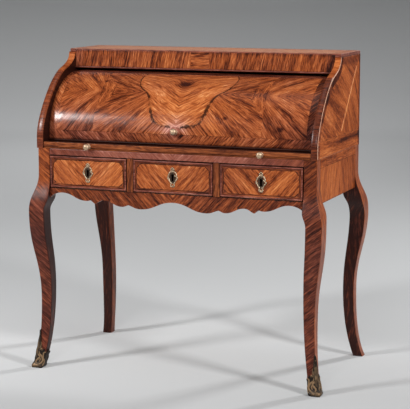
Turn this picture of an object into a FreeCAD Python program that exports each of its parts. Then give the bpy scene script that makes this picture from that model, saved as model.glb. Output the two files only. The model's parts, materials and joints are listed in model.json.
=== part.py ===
"""Small cylinder desk: a case on four cabriole legs, three frieze drawers, a writing slide and a solid
cylinder fall over a nest of pigeonholes.

Millimetres, +Z up, +X to the viewer's right, the front faces -Y. The origin lies on the floor, under the
middle of the bounding box. Sizes live in the sheet, and every piece is bound to its cells.
"""
import FreeCAD
import Part
import os
import re

Vector = FreeCAD.Vector

SIZES = {
    # lower case
    "case_width": 890,
    "joint_height": 688,
    "stile_width": 39,
    "drawer_rail_height": 20,
    "drawer_rail_depth": 60,
    "opening_height": 100.4,
    "divider_width": 20,
    "side_rail_height": 131,
    "side_rail_thickness": 20,
    "back_rail_thickness": 18,
    "apron_depth": 51,
    "apron_thickness": 20,
    "tenon_length": 14,
    "tenon_thickness": 8,
    "tenon_shoulder": 6,
    "apron_tenon_height": 16,
    "runner_height": 10,
    "runner_reach": 20,
    "guide_height": 24,
    "guide_gap": 0.3,
    "bed_thickness": 8,
    "bed_drop": 4,
    # legs
    "post_height": 78,
    "bracket_drop": 145,
    "knee_drop": 194,
    "knee_out": 24,
    "knee_width": 50,
    "ankle_height": 220,
    "ankle_in": 2,
    "ankle_width": 35,
    "calf_height": 262,
    "toe_out": 22,
    "foot_width": 31,
    "back_knee_drop": 236,
    "back_knee_out": 43,
    "back_knee_width": 44,
    "back_ankle_height": 255,
    "back_ankle_in": 8,
    "back_ankle_out": 27,
    "heel_out": 65,
    "heel_splay": 13,
    "heel_width": 31,
    "sabot_thickness": 7,
    "sabot_lining": 1.5,
    "sabot_height": 66,
    "sabot_leaf_height": 122,
    "sabot_leaf_width": 20,
    # upper case
    "panel_thickness": 18,
    "belly_rise": 34,
    "top_thickness": 10,
    "top_depth": 213.5,
    "frieze_height": 45,
    "frieze_thickness": 20,
    "frieze_lip_height": 5,
    "frieze_lip_proud": 3,
    "back_thickness": 10,
    # cylinder, which turns about an axis along X and runs in grooves in the side panels
    "cylinder_radius": 198,
    "cylinder_setback": 35.5,
    "cylinder_back_gap": 3.5,
    "cylinder_gap": 8,
    "cylinder_end_gap": 0.8,
    "axis_rise": 26,
    "shell_thickness": 14,
    "shell_start_angle": 80,
    "shell_trim_angle": 5,
    "cylinder_opening_angle": 72,
    "quarter_turn": 90,
    "runner_top_angle": 1,
    "runner_lip_angle": 2,
    "cylinder_runner_thickness": 8,
    "cylinder_runner_width": 22,
    "cylinder_runner_reach": 7,
    "glue_gap": 0.1,
    "groove_gap": 0.4,
    "groove_angle_gap": 1,
    "lip_height": 6,
    "lip_gap": 1,
    "cylinder_knob_angle": 170,
    "cylinder_knob_offset": 8,
    # writing slide
    "slide_thickness": 19,
    "slide_back_gap": 30,
    "slide_inset": 1,
    "slide_gap": 0.5,
    "slide_end_gap": 1.2,
    "lipping_depth": 12,
    "leather_thickness": 1.5,
    "leather_sink": 0.2,
    "leather_margin": 45,
    "leather_depth": 220,
    "bearer_width": 39,
    "kicker_width": 14,
    "kicker_setback": 72,
    "slide_knob_spread": 276,
    # knobs
    "knob_radius": 10,
    "knob_neck_length": 6,
    "knob_neck_base_radius": 5.3,
    "knob_neck_radius": 4,
    "knob_rose_radius": 8,
    "knob_rose_thickness": 2,
    "knob_spigot_radius": 2.5,
    "knob_spigot_length": 9,
    "small_knob_scale_share": 0.5,
    "spigot_gap": 0.05,
    # frieze drawers
    "drawer_gap": 0.7,
    "drawer_back_gap": 35,
    "front_thickness": 18,
    "front_proud": 3,
    "bead_width": 5,
    "bead_depth": 1.5,
    "drawer_side_thickness": 9,
    "drawer_side_drop": 18.4,
    "drawer_side_gap": 0.6,
    "drawer_run_gap": 0.3,
    "drawer_bottom_thickness": 6,
    "drawer_bottom_rise": 6,
    "drawer_groove": 4,
    # locks and escutcheons
    "escutcheon_width": 32,
    "escutcheon_height": 60,
    "escutcheon_thickness": 2.5,
    "keyhole_radius": 2.6,
    "keyhole_slot": 3.2,
    "keyhole_drop": 12,
    "lock_width": 44,
    "lock_height": 42,
    "lock_thickness": 8,
    "bolt_width": 14,
    "bolt_thickness": 4,
    "bolt_height": 18,
    "bolt_travel": 6,
    "bolt_gap": 0.25,
    # nest behind the cylinder
    "nest_setback": 182.5,
    "nest_floor_thickness": 8,
    "nest_height": 110,
    "nest_clear": 4,
    "nest_end_thickness": 8,
    "nest_board": 6,
    "nest_drawer_height": 42,
    "nest_drawer_gap": 0.4,
    "nest_drawer_wall": 5,
    "nest_drawer_floor": 3,
    "nest_front_thickness": 9,
    "nest_stop_gap": 3,
}

DERIVED = {
    # places across the case
    "side_x": "case_width / 2",
    "panel_in": "side_x - panel_thickness",
    "stile_in": "side_x - stile_width",
    "rail_in": "side_x - side_rail_thickness",
    "opening_width": "(2 * stile_in - 2 * divider_width) / 3",
    "drawer_pitch": "opening_width + divider_width",
    # places from front to back
    "case_depth": "cylinder_setback + 2 * cylinder_radius + cylinder_back_gap + back_thickness",
    "front_reach": "toe_out + sabot_thickness",
    "front_y": "-(front_reach + case_depth + heel_out) / 2 + front_reach",
    "back_y": "front_y + case_depth",
    "front_post_y": "front_y + stile_width",
    "back_post_y": "back_y - stile_width",
    "back_rail_y": "back_y - back_rail_thickness",
    "back_panel_y": "back_y - back_thickness",
    "top_front_y": "back_y - top_depth",
    "axis_y": "front_y + cylinder_setback + cylinder_radius",
    "slide_front_y": "front_y + slide_inset",
    "slide_back_y": "back_panel_y - slide_back_gap",
    "nest_front_y": "front_y + nest_setback",
    "drawer_face_y": "front_y - front_proud",
    "drawer_field_y": "drawer_face_y + bead_depth",
    "front_back_y": "drawer_face_y + front_thickness",
    "drawer_back_y": "back_rail_y - drawer_back_gap",
    # heights
    "opening_top": "joint_height - drawer_rail_height",
    "opening_low": "opening_top - opening_height",
    "side_rail_low": "joint_height - side_rail_height",
    "slide_low": "joint_height + slide_gap",
    "slide_top": "slide_low + slide_thickness",
    "axis_z": "joint_height + axis_rise",
    "frieze_lip_low": "axis_z + cylinder_radius + cylinder_gap",
    "frieze_low": "frieze_lip_low + frieze_lip_height",
    "case_top": "frieze_low + frieze_height",
    "overall_height": "case_top + top_thickness",
    "lip_low": "slide_top + lip_gap",
    "lip_top": "lip_low + lip_height",
    "nest_floor_low": "slide_top + slide_gap",
    "nest_floor_top": "nest_floor_low + nest_floor_thickness",
    "nest_top": "nest_floor_top + nest_height",
    "nest_shelf_low": "nest_floor_top + nest_drawer_height",
    # cylinder angles from the level of the axis, radii, and the nest inside them
    "half_turn": "2 * quarter_turn",
    "shell_end_angle": "half_turn + shell_trim_angle",
    "runner_start_angle": "shell_start_angle + runner_top_angle",
    "runner_end_angle": "half_turn - runner_lip_angle",
    "shell_in": "cylinder_radius - shell_thickness",
    "cylinder_runner_out": "shell_in - glue_gap",
    "cylinder_runner_in": "cylinder_runner_out - cylinder_runner_thickness",
    "nest_reach": "cylinder_runner_in - nest_clear",
    "nest_back_y": "axis_y + sqrt(nest_reach ^ 2 - (nest_top - axis_z) ^ 2)",
    "shell_end_x": "panel_in - cylinder_end_gap",
    "nest_side": "panel_in + cylinder_runner_reach - cylinder_runner_width - nest_clear",
    "nest_in": "nest_side - nest_end_thickness",
    "nest_cell": "(2 * nest_in - 2 * nest_board) / 3",
    "nest_pitch": "nest_cell + nest_board",
}

# Outline points as shares of the run and the rise that they follow.
ogee_belly_shares = [(0, 0), (0, 0.242), (0.428, 0.704), (0.693, 0.79)]
ogee_neck_shares = [(0.693, 0.79), (0.836, 0.837), (1, 0.883), (1, 1)]
apron_wave_shares = [
    ((0, 0.50), (0.26, 1.0), "flat", "flat"),
    ((0.26, 1.0), (0.357, 0.80), "flat", "free"),
    ((0.357, 0.80), (0.41, 0.92), "free", "flat"),
    ((0.41, 0.92), (0.554, 0.595), "flat", "flat"),
    ((0.554, 0.595), (0.63, 0.84), "flat", "free"),
    ((0.63, 0.84), (0.663, 0.645), "free", "free"),
    ((0.663, 0.645), (0.70, 0.695), "free", "flat"),
    ((0.70, 0.695), (0.90, 0.27), "flat", "flat"),
    ((0.90, 0.27), (1, 0.65), "flat", "upright"),
]
escutcheon_shares = [
    (0, 0), (0.42, 0.04), (0.46, 0.12), (0.34, 0.20), (0.62, 0.27), (0.74, 0.38), (1, 0.47), (0.93, 0.58),
    (0.66, 0.64), (0.60, 0.76), (0.42, 0.84), (0.44, 0.93), (0, 1),
]
keyhole_rise_share = 0.1
curve_ease_share = 0.45
toe_ease_share = 0.45
toe_kick_share = 0.25
heel_kick_share = 0.5

ALIASES = set(SIZES) | set(DERIVED)
SIDES = {"left": -1, "right": 1}
DRAWERS = {"left": -1, "centre": 0, "right": 1}

doc = FreeCAD.newDocument("cylinder_desk")
sheet = doc.addObject("Spreadsheet::Sheet", "Sizes")
NODES = []


def fill_sheet():
    """Writes the driving sizes as plain numbers and the worked-out places as formulas."""
    cells = {alias: str(value) for alias, value in SIZES.items()}
    cells.update({alias: f"={formula}" for alias, formula in DERIVED.items()})
    for row, (alias, text) in enumerate(cells.items(), start=1):
        sheet.set(f"A{row}", alias)
        sheet.set(f"B{row}", text)
        sheet.setAlias(f"B{row}", alias)
    doc.recompute()


def size(alias):
    """The present value of a sheet cell."""
    return float(sheet.get(alias))


def bound(text):
    """The text with every alias turned into a reference to its cell."""
    def cell(word):
        return f"Sizes.{word.group()}" if word.group() in ALIASES else word.group()
    return re.sub(r"[a-z]\w*", cell, text)


def node(piece):
    """Marks a finished piece as one of the files of the part."""
    NODES.append(piece)
    return piece


def board(label, x, y, z):
    """A box between two sheet expressions along each axis."""
    box = doc.addObject("Part::Box", label)
    for side, axis, (low, high) in zip(("Length", "Width", "Height"), "xyz", (x, y, z)):
        box.setExpression(side, bound(f"({high}) - ({low})"))
        box.setExpression(f"Placement.Base.{axis}", bound(low))
    return box


def pair(label, x, y, z):
    """The same box on the left and on the right of the middle plane."""
    mirrored_x = (f"-({x[1]})", f"-({x[0]})")
    return board(f"{label}_left", mirrored_x, y, z), board(f"{label}_right", x, y, z)


def fuse(label, *pieces):
    """One solid from pieces that touch."""
    made = doc.addObject("Part::MultiFuse", label)
    made.Shapes = list(pieces)
    made.Refine = True
    return made


def cut(label, base, *tools):
    """The base with every tool's space taken out of it."""
    made = doc.addObject("Part::Cut", label)
    made.Base = base
    made.Tool = tools[0] if len(tools) == 1 else fuse(f"{label}_tools", *tools)
    return made


def group(label, *pieces):
    """Separate solids that share one node."""
    made = doc.addObject("Part::Compound", label)
    made.Links = list(pieces)
    return made


def mirrored(label, source):
    """The same piece on the other side of the middle plane."""
    made = doc.addObject("Part::Mirroring", label)
    made.Source = source
    made.Normal = Vector(1, 0, 0)
    return made


def solid(label, shape):
    """A piece whose outline is drawn from the sheet's present values."""
    made = doc.addObject("Part::Feature", label)
    made.Shape = shape
    return made


def round_bar(label, radius, height, angle=None):
    """A cylinder, or a sector of one, that stands on its own origin."""
    bar = doc.addObject("Part::Cylinder", label)
    bar.setExpression("Radius", bound(radius))
    bar.setExpression("Height", bound(height))
    if angle:
        bar.setExpression("Angle", bound(angle))
    return bar


def place(piece, x, y, z, turn=FreeCAD.Rotation()):
    piece.Placement = FreeCAD.Placement(Vector(), turn)
    for axis, text in zip("xyz", (x, y, z)):
        piece.setExpression(f"Placement.Base.{axis}", bound(text))
    return piece


def about_axis(start_angle):
    """Turns local Z to +X and local X to an angle above +Y, as seen along the cylinder's axis."""
    return FreeCAD.Rotation(Vector(1, 0, 0), start_angle) * FreeCAD.Rotation(Vector(1, 1, 1), 120)


def ring_sector(label, inner, outer, start, sweep, x_low, length):
    """A curved strip about the cylinder's axis, between two radii and two angles."""
    disc = round_bar(f"{label}_outer", outer, length, sweep)
    made = cut(label, disc, round_bar(f"{label}_inner", inner, length))
    return place(made, x_low, "axis_y", "axis_z", about_axis(start))


def bezier(*poles):
    curve = Part.BezierCurve()
    curve.setPoles(list(poles))
    return curve.toShape()


def line(start, end):
    return Part.LineSegment(start, end).toShape()


def prism(edges, run):
    """A solid from a closed outline, drawn out along a vector."""
    return Part.Face(Part.Wire(Part.__sortEdges__(edges))).extrude(run)


FORWARD = FreeCAD.Rotation(Vector(1, 0, 0), 90)


# Legs: each is the common solid of two sawn profiles, as a cabriole leg is cut from a square blank.

def leg_outline(at, knee, knee_z, knee_width, ankle, ankle_z, calf_z, ankle_width, toe, foot_width,
                coat=0, lining=0):
    """Edges of one profile. The function at(u, z) gives the point u outside the case face at height z.
    A coat on the outer edge and a lining on the inner one widen it for a shoe."""
    top, post, stile = size("joint_height"), size("joint_height") - size("post_height"), size("stile_width")
    bracket = size("joint_height") - size("bracket_drop")

    def eased(start, end):
        rise = (end[1] - start[1]) * curve_ease_share
        return bezier(at(*start), at(start[0], start[1] + rise), at(end[0], end[1] - rise), at(*end))

    def kicked(start, end, kick_share):
        rise = (end[1] - start[1]) * toe_ease_share
        kick = start[0] + (end[0] - start[0]) * kick_share
        return bezier(at(*start), at(start[0], start[1] + rise), at(kick, end[1] - rise / 2), at(*end))

    outer = [(coat, top), (coat, post), (knee + coat, knee_z), (ankle + coat, ankle_z), (toe + coat, 0)]
    inner = [(-stile - lining, top), (-stile - lining, bracket), (knee - knee_width - lining, knee_z),
             (ankle - ankle_width - lining, calf_z), (toe - foot_width - lining, 0)]
    edges = [line(at(*outer[0]), at(*inner[0])), line(at(*outer[-1]), at(*inner[-1]))]
    for side, kick_share in ((outer, toe_kick_share), (inner, heel_kick_share)):
        edges += [line(at(*side[0]), at(*side[1])), eased(side[1], side[2]), eased(side[2], side[3])]
        edges.append(kicked(side[3], side[4], kick_share))
    return edges


def leg_blank(outline_x, outline_y, outward, coat=0, lining=0):
    """Common solid of the profile seen from the front and the one seen from the side."""
    face_x, face_y = size("side_x"), size("front_y") if outward < 0 else size("back_y")
    spread = size("case_depth")

    def from_front(u, z):
        return Vector(face_x + u, face_y - spread, z)

    def from_side(u, z):
        return Vector(face_x - spread, face_y + outward * u, z)

    seen_front = prism(leg_outline(from_front, *outline_x, coat, lining), Vector(0, 2 * spread, 0))
    seen_side = prism(leg_outline(from_side, *outline_y, coat, lining), Vector(2 * spread, 0, 0))
    return seen_front.common(seen_side)


def leg_sizes(kind):
    """The sizes of one profile, in the order that leg_outline takes them."""
    knee = [size("knee_out"), size("joint_height") - size("knee_drop"), size("knee_width")]
    ankle = [-size("ankle_in"), size("ankle_height")]
    if kind == "front":
        return knee + ankle + [size("calf_height"), size("ankle_width"), size("toe_out"), size("foot_width")]
    heel = [size("ankle_width"), size("heel_out"), size("heel_width")]
    if kind == "splay":
        splay = [size("ankle_width"), size("heel_splay"), size("heel_width")]
        return knee + [-size("back_ankle_in"), size("ankle_height"), size("ankle_height")] + splay
    knee = [size("back_knee_out"), size("joint_height") - size("back_knee_drop"), size("back_knee_width")]
    return knee + [size("back_ankle_out"), size("back_ankle_height"), size("back_ankle_height")] + heel


def leaf_wedge(corner, inward, drawn):
    """A pointed tongue on one face of the foot: its point lies on the outer arris."""
    low, high, width = size("sabot_height") / 2, size("sabot_leaf_height"), size("sabot_leaf_width")
    points = [corner - inward * width, corner - inward * width, corner, corner + inward * width]
    heights = [low, high, high, low]
    rims = [point + Vector(0, 0, height) for point, height in zip(points, heights)]
    edges = [line(rims[i], rims[(i + 1) % len(rims)]) for i in range(len(rims))]
    return prism(edges, drawn)


def sabot_shape(leg):
    """A bronze shoe round the front foot, with a leaf that climbs the outer arris."""
    coat = size("sabot_thickness")
    sleeve = leg_blank(leg_sizes("front"), leg_sizes("front"), -1, coat, size("sabot_lining"))
    spread = size("case_depth")
    low_corner = Vector(size("side_x") - spread / 2, size("front_y") - spread / 2, 0)
    shoe = sleeve.common(Part.makeBox(spread, spread, size("sabot_height"), low_corner))
    arris_x = Vector(size("side_x") - size("ankle_in") + coat, size("front_y") - spread / 2, 0)
    arris_y = Vector(size("side_x") - spread / 2, size("front_y") + size("ankle_in") - coat, 0)
    leaf = sleeve.common(leaf_wedge(arris_x, Vector(-1, 0, 0), Vector(0, spread, 0)))
    leaf = leaf.common(leaf_wedge(arris_y, Vector(0, 1, 0), Vector(spread, 0, 0)))
    return shoe.fuse(leaf).cut(leg).removeSplitter()


def build_tenons():
    """Tenons of the rails. The same boxes open the mortises in the legs."""
    shoulder = "tenon_shoulder"
    end_x = ("stile_in", "stile_in + tenon_length")
    rail_x = (f"rail_in + {shoulder}", f"rail_in + {shoulder} + tenon_thickness")
    rail_z = (f"side_rail_low + 2 * {shoulder}", f"joint_height - 2 * {shoulder}")
    front_y = (f"front_y + {shoulder}", f"front_y + {shoulder} + tenon_thickness")
    back_y = ("back_rail_y + (back_rail_thickness - tenon_thickness) / 2",
              "back_y - (back_rail_thickness - tenon_thickness) / 2")
    return {
        "drawer_rail": pair("drawer_rail_tenon", end_x, front_y,
                            (f"opening_top + {shoulder}", f"joint_height - {shoulder}")),
        "apron": pair("apron_tenon", end_x, front_y,
                      (f"opening_low - {shoulder} - apron_tenon_height", f"opening_low - {shoulder}")),
        "back_rail": pair("back_rail_tenon", end_x, back_y, rail_z),
        "side_front": pair("side_front_tenon", rail_x, ("front_post_y - tenon_length", "front_post_y"),
                           rail_z),
        "side_back": pair("side_back_tenon", rail_x, ("back_post_y", "back_post_y + tenon_length"), rail_z),
    }


def build_legs(tenons):
    front_shape = leg_blank(leg_sizes("front"), leg_sizes("front"), -1)
    front_blank = solid("front_leg_blank", front_shape)
    back_blank = solid("back_leg_blank", leg_blank(leg_sizes("splay"), leg_sizes("heel"), 1))
    front_mortises = [tenons[name][1] for name in ("drawer_rail", "apron", "side_front")]
    back_mortises = [tenons[name][1] for name in ("back_rail", "side_back")]
    front = node(cut("leg_front_right", front_blank, *front_mortises))
    back = node(cut("leg_back_right", back_blank, *back_mortises))
    sabot = node(solid("sabot_right", sabot_shape(front_shape)))
    node(mirrored("leg_front_left", front))
    node(mirrored("leg_back_left", back))
    node(mirrored("sabot_left", sabot))


# Lower case: rails between the legs, drawer partitions, runners and the bed under the slide.

def apron_edges():
    """The scalloped outline of the apron, both halves, with its ends against the legs."""
    half, top, depth, face = size("stile_in"), size("opening_low"), size("apron_depth"), size("front_y")

    def at(share):
        return Vector(half * share[0], face, top - depth * share[1])

    def handle(point, other, way):
        reach = other - point
        lean = {"flat": Vector(reach.x, 0, 0), "upright": Vector(0, 0, reach.z), "free": reach}[way]
        return point + lean * curve_ease_share

    right = []
    for start, end, start_way, end_way in apron_wave_shares:
        first, last = at(start), at(end)
        right.append(bezier(first, handle(first, last, start_way), handle(last, first, end_way), last))
    corner = Vector(half, face, top)
    right.append(line(at(apron_wave_shares[-1][1]), corner))
    left = [edge.mirror(Vector(), Vector(1, 0, 0)) for edge in right]
    return right + left + [line(corner, Vector(-half, face, top))]


def build_lower_case(tenons):
    inside_y = ("front_post_y", "back_post_y")
    between_legs = ("-stile_in", "stile_in")
    apron = solid("apron_board", prism(apron_edges(), Vector(0, size("apron_thickness"), 0)))
    node(fuse("front_apron", apron, *tenons["apron"]))
    rails = pair("side_rail_board", ("rail_in", "side_x"), inside_y, ("side_rail_low", "joint_height"))
    for which, side in enumerate(SIDES):
        ends = (tenons["side_front"][which], tenons["side_back"][which])
        node(fuse(f"side_rail_{side}", rails[which], *ends))
    back = board("back_rail_board", between_legs, ("back_rail_y", "back_y"),
                 ("side_rail_low", "joint_height"))
    node(fuse("back_rail", back, *tenons["back_rail"]))
    rail = board("drawer_rail_board", between_legs, ("front_y", "front_y + drawer_rail_depth"),
                 ("opening_top", "joint_height"))
    strikes = [bolt_box(f"{name}_strike", index, "opening_top", "opening_top + bolt_travel + bolt_gap",
                        "bolt_gap") for name, index in DRAWERS.items()]
    node(cut("drawer_rail", fuse("drawer_rail_blank", rail, *tenons["drawer_rail"]), *strikes))
    dividers = pair("drawer_divider", ("opening_width / 2", "opening_width / 2 + divider_width"),
                    ("front_y", "back_rail_y"), ("opening_low", "opening_top"))
    node(group("drawer_dividers", *dividers))


def build_runners():
    """Strips that carry the drawers and the slide, and the thin board between them."""
    low_z = ("opening_low - runner_height", "opening_low")
    inside_y = ("front_post_y", "back_post_y")
    shelf = pair("end_runner_shelf", ("stile_in - runner_reach", "rail_in"), inside_y, low_z)
    fence = pair("end_runner_fence", ("stile_in + guide_gap", "rail_in"), inside_y,
                 ("opening_low", "opening_low + guide_height"))
    ends = [fuse(f"end_runner_{side}", *parts) for side, parts in zip(SIDES, zip(shelf, fence))]
    middle = pair("middle_runner", ("opening_width / 2 - runner_reach",
                                    "opening_width / 2 + divider_width + runner_reach"),
                  ("front_y + apron_thickness", "back_rail_y"), low_z)
    node(group("drawer_runners", *ends, *middle))
    bearer_x = ("rail_in - bearer_width", "rail_in")
    rail_back = "front_y + drawer_rail_depth"
    bearers = pair("slide_bearer", bearer_x, (rail_back, "back_post_y"), ("opening_top", "joint_height"))
    kickers = pair("slide_kicker", ("panel_in - kicker_width", "panel_in"),
                   ("front_y + kicker_setback", "nest_front_y"), ("nest_floor_low", "nest_floor_top"))
    node(group("slide_guides", *bearers, *kickers))
    node(board("slide_bed", ("-rail_in + bearer_width", "rail_in - bearer_width"), (rail_back, "back_rail_y"),
               ("joint_height - bed_drop - bed_thickness", "joint_height - bed_drop")))


# Upper case: ogee side panels with the cylinder's grooves, top, frieze and back.

def ogee_edges():
    """The outline of a side panel, with its belly below and its neck under the top."""
    face, run = size("front_y"), size("top_front_y") - size("front_y")
    belly = size("joint_height") + size("belly_rise")
    rise, top = size("case_top") - belly, size("case_top")
    inner = size("panel_in")

    def at(share):
        return Vector(inner, face + run * share[0], belly + rise * share[1])

    foot = Vector(inner, face, size("joint_height"))
    heel, back_top = Vector(inner, size("back_y"), foot.z), Vector(inner, size("back_y"), top)
    curves = [bezier(*(at(share) for share in shares)) for shares in (ogee_belly_shares, ogee_neck_shares)]
    straights = [(foot, at((0, 0))), (at((1, 1)), back_top), (back_top, heel), (heel, foot)]
    return curves + [line(start, end) for start, end in straights]


def build_upper_case():
    blank = solid("side_panel_board", prism(ogee_edges(), Vector(size("panel_thickness"), 0, 0)))
    open_start = size("runner_start_angle") - size("cylinder_opening_angle") - size("groove_angle_gap")
    sweep = "runner_end_angle - runner_start_angle + cylinder_opening_angle + 2 * groove_angle_gap"
    groove = ring_sector("cylinder_groove", "cylinder_runner_in - groove_gap",
                         "cylinder_runner_out + groove_gap", open_start, sweep, "panel_in",
                         "cylinder_runner_reach + groove_gap")
    panel = node(cut("side_panel_right", blank, groove))
    node(mirrored("side_panel_left", panel))
    inside_x = ("-panel_in", "panel_in")
    node(board("top_board", ("-side_x", "side_x"), ("top_front_y", "back_y"), ("case_top", "overall_height")))
    node(board("top_frieze", inside_x, ("top_front_y", "top_front_y + frieze_thickness"),
               ("frieze_low", "case_top")))
    node(board("frieze_lip", inside_x, ("top_front_y - frieze_lip_proud", "top_front_y + frieze_thickness"),
               ("frieze_lip_low", "frieze_low")))
    node(board("back_panel", inside_x, ("back_panel_y", "back_y"), ("joint_height", "case_top")))


# Cylinder fall and writing slide, with their turned brass knobs.

def knob(label, scale="1"):
    """A ball on a neck and a rose, along local Z, with a spigot that goes into the wood."""
    rose = round_bar(f"{label}_rose", f"knob_rose_radius * {scale}", f"knob_rose_thickness * {scale}")
    neck = doc.addObject("Part::Cone", f"{label}_neck")
    neck.setExpression("Radius1", bound(f"knob_neck_base_radius * {scale}"))
    neck.setExpression("Radius2", bound(f"knob_neck_radius * {scale}"))
    neck.setExpression("Height", bound(f"knob_neck_length * {scale}"))
    place(neck, "0", "0", f"knob_rose_thickness * {scale}")
    ball = doc.addObject("Part::Sphere", f"{label}_ball")
    ball.setExpression("Radius", bound(f"knob_radius * {scale}"))
    place(ball, "0", "0", f"(knob_rose_thickness + knob_neck_length / 2 + knob_radius) * {scale}")
    return fuse(label, rose, neck, ball, spigot(f"{label}_spigot", scale, "0"))


def spigot(label, scale, gap):
    """The pin behind a knob, or with a gap the bore that takes it."""
    pin = round_bar(label, f"knob_spigot_radius * {scale} + {gap}", f"knob_spigot_length * {scale} + {gap}")
    return place(pin, "0", "0", f"-knob_spigot_length * {scale} - {gap}")


def seated(label, piece, x, y, z, turn=FORWARD):
    """The piece, lifted from its own origin to its seat."""
    return place(group(label, piece), x, y, z, turn)


def build_cylinder():
    sweep = "shell_end_angle - shell_start_angle"
    shell = ring_sector("shell_stave", "shell_in", "cylinder_radius", size("shell_start_angle"), sweep,
                        "-shell_end_x", "2 * shell_end_x")
    trim = board("shell_trim", ("-side_x", "side_x"), ("front_y", "axis_y"),
                 ("axis_z - cylinder_radius", "lip_top"))
    out = FreeCAD.Rotation(Vector(1, 0, 0), size("cylinder_knob_angle") - size("quarter_turn"))
    rise = "axis_z + cylinder_radius * sin(cylinder_knob_angle * 1 deg)"
    reach = "axis_y + cylinder_radius * cos(cylinder_knob_angle * 1 deg)"
    seat = ("-cylinder_knob_offset", reach, rise, out)
    hole = seated("cylinder_knob_hole", spigot("cylinder_knob_bore", "1", "spigot_gap"), *seat)
    node(cut("cylinder_shell", shell, trim, hole))
    runner_sweep = "runner_end_angle - runner_start_angle"
    runner_low = "panel_in + cylinder_runner_reach - cylinder_runner_width"
    right = node(ring_sector("cylinder_runner_right", "cylinder_runner_in", "cylinder_runner_out",
                             size("runner_start_angle"), runner_sweep, runner_low, "cylinder_runner_width"))
    node(mirrored("cylinder_runner_left", right))
    strip = board("cylinder_lip_strip", ("-shell_end_x", "shell_end_x"),
                  ("axis_y - cylinder_radius", "axis_y - shell_in"), ("lip_low", "lip_top"))
    nosing = round_bar("cylinder_lip_nosing", "lip_height / 2", "2 * shell_end_x")
    place(nosing, "-shell_end_x", "axis_y - cylinder_radius", "lip_low + lip_height / 2", about_axis(0))
    node(fuse("cylinder_lip", strip, nosing))
    node(place(knob("cylinder_knob"), *seat))


def build_slide():
    slide_x = ("-panel_in + slide_end_gap", "panel_in - slide_end_gap")
    slide_z = ("slide_low", "slide_top")
    lipping_back = "slide_front_y + lipping_depth"
    knob_z = "slide_low + slide_thickness / 2"
    blank = board("slide_plank", slide_x, (lipping_back, "slide_back_y"), slide_z)
    leather_x = ("-panel_in + leather_margin", "panel_in - leather_margin")
    leather_y = (f"{lipping_back} + leather_margin", f"{lipping_back} + leather_margin + leather_depth")
    sunk_z = "slide_top - leather_sink - leather_thickness"
    recess = board("leather_recess", leather_x, leather_y, (sunk_z, "slide_top"))
    node(cut("slide_board", blank, recess))
    node(board("slide_leather", leather_x, leather_y, (sunk_z, "slide_top - leather_sink")))
    strip = board("slide_lipping_strip", slide_x, ("slide_front_y", lipping_back), slide_z)
    holes, knobs = [], []
    for side, sign in SIDES.items():
        x = f"{sign} * slide_knob_spread"
        bore = spigot(f"slide_knob_bore_{side}", "1", "spigot_gap")
        holes.append(seated(f"slide_knob_hole_{side}", bore, x, "slide_front_y", knob_z))
        knobs.append(place(knob(f"slide_knob_{side}"), x, "slide_front_y", knob_z, FORWARD))
    node(cut("slide_lipping", strip, *holes))
    node(group("slide_knobs", *knobs))


# Frieze drawers: front, box, bottom, escutcheon, lock and the lock's bolt.

def drawer_span(index, inset):
    """The ends along X of a drawer piece that keeps an inset from its opening."""
    centre = f"{index} * drawer_pitch"
    return f"{centre} - opening_width / 2 + ({inset})", f"{centre} + opening_width / 2 - ({inset})"


def bolt_box(label, index, low, high, gap):
    """The bolt's space, widened by a gap on its sides."""
    centre, middle = f"{index} * drawer_pitch", "front_back_y - lock_thickness / 2"
    x = (f"{centre} - bolt_width / 2 - {gap}", f"{centre} + bolt_width / 2 + {gap}")
    y = (f"{middle} - bolt_thickness / 2 - {gap}", f"{middle} + bolt_thickness / 2 + {gap}")
    return board(label, x, y, (low, high))


def keyhole(label, index, y, z):
    """A round hole with a slot below it, through whatever lies between two depths."""
    eye = round_bar(f"{label}_eye", "keyhole_radius", f"({y[1]}) - ({y[0]})")
    place(eye, f"{index} * drawer_pitch", y[1], z, FORWARD)
    slot = board(f"{label}_slot", (f"{index} * drawer_pitch - keyhole_slot / 2",
                                   f"{index} * drawer_pitch + keyhole_slot / 2"), y,
                 (f"{z} - keyhole_drop", z))
    return fuse(label, eye, slot)


def escutcheon_shape(index):
    """The scrolled plate round a keyhole, one smooth edge and its mirror image."""
    half, height = size("escutcheon_width") / 2, size("escutcheon_height")
    middle = index * size("drawer_pitch")
    low = (size("opening_low") + size("opening_top") - height) / 2
    face = size("drawer_field_y")
    right = [Vector(middle + half * x, face, low + height * z) for x, z in escutcheon_shares]
    curve = Part.BSplineCurve()
    curve.interpolate(right)
    edge = curve.toShape()
    other = edge.mirror(Vector(middle, 0, 0), Vector(1, 0, 0))
    return prism([edge, other], Vector(0, -size("escutcheon_thickness"), 0))


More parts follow.
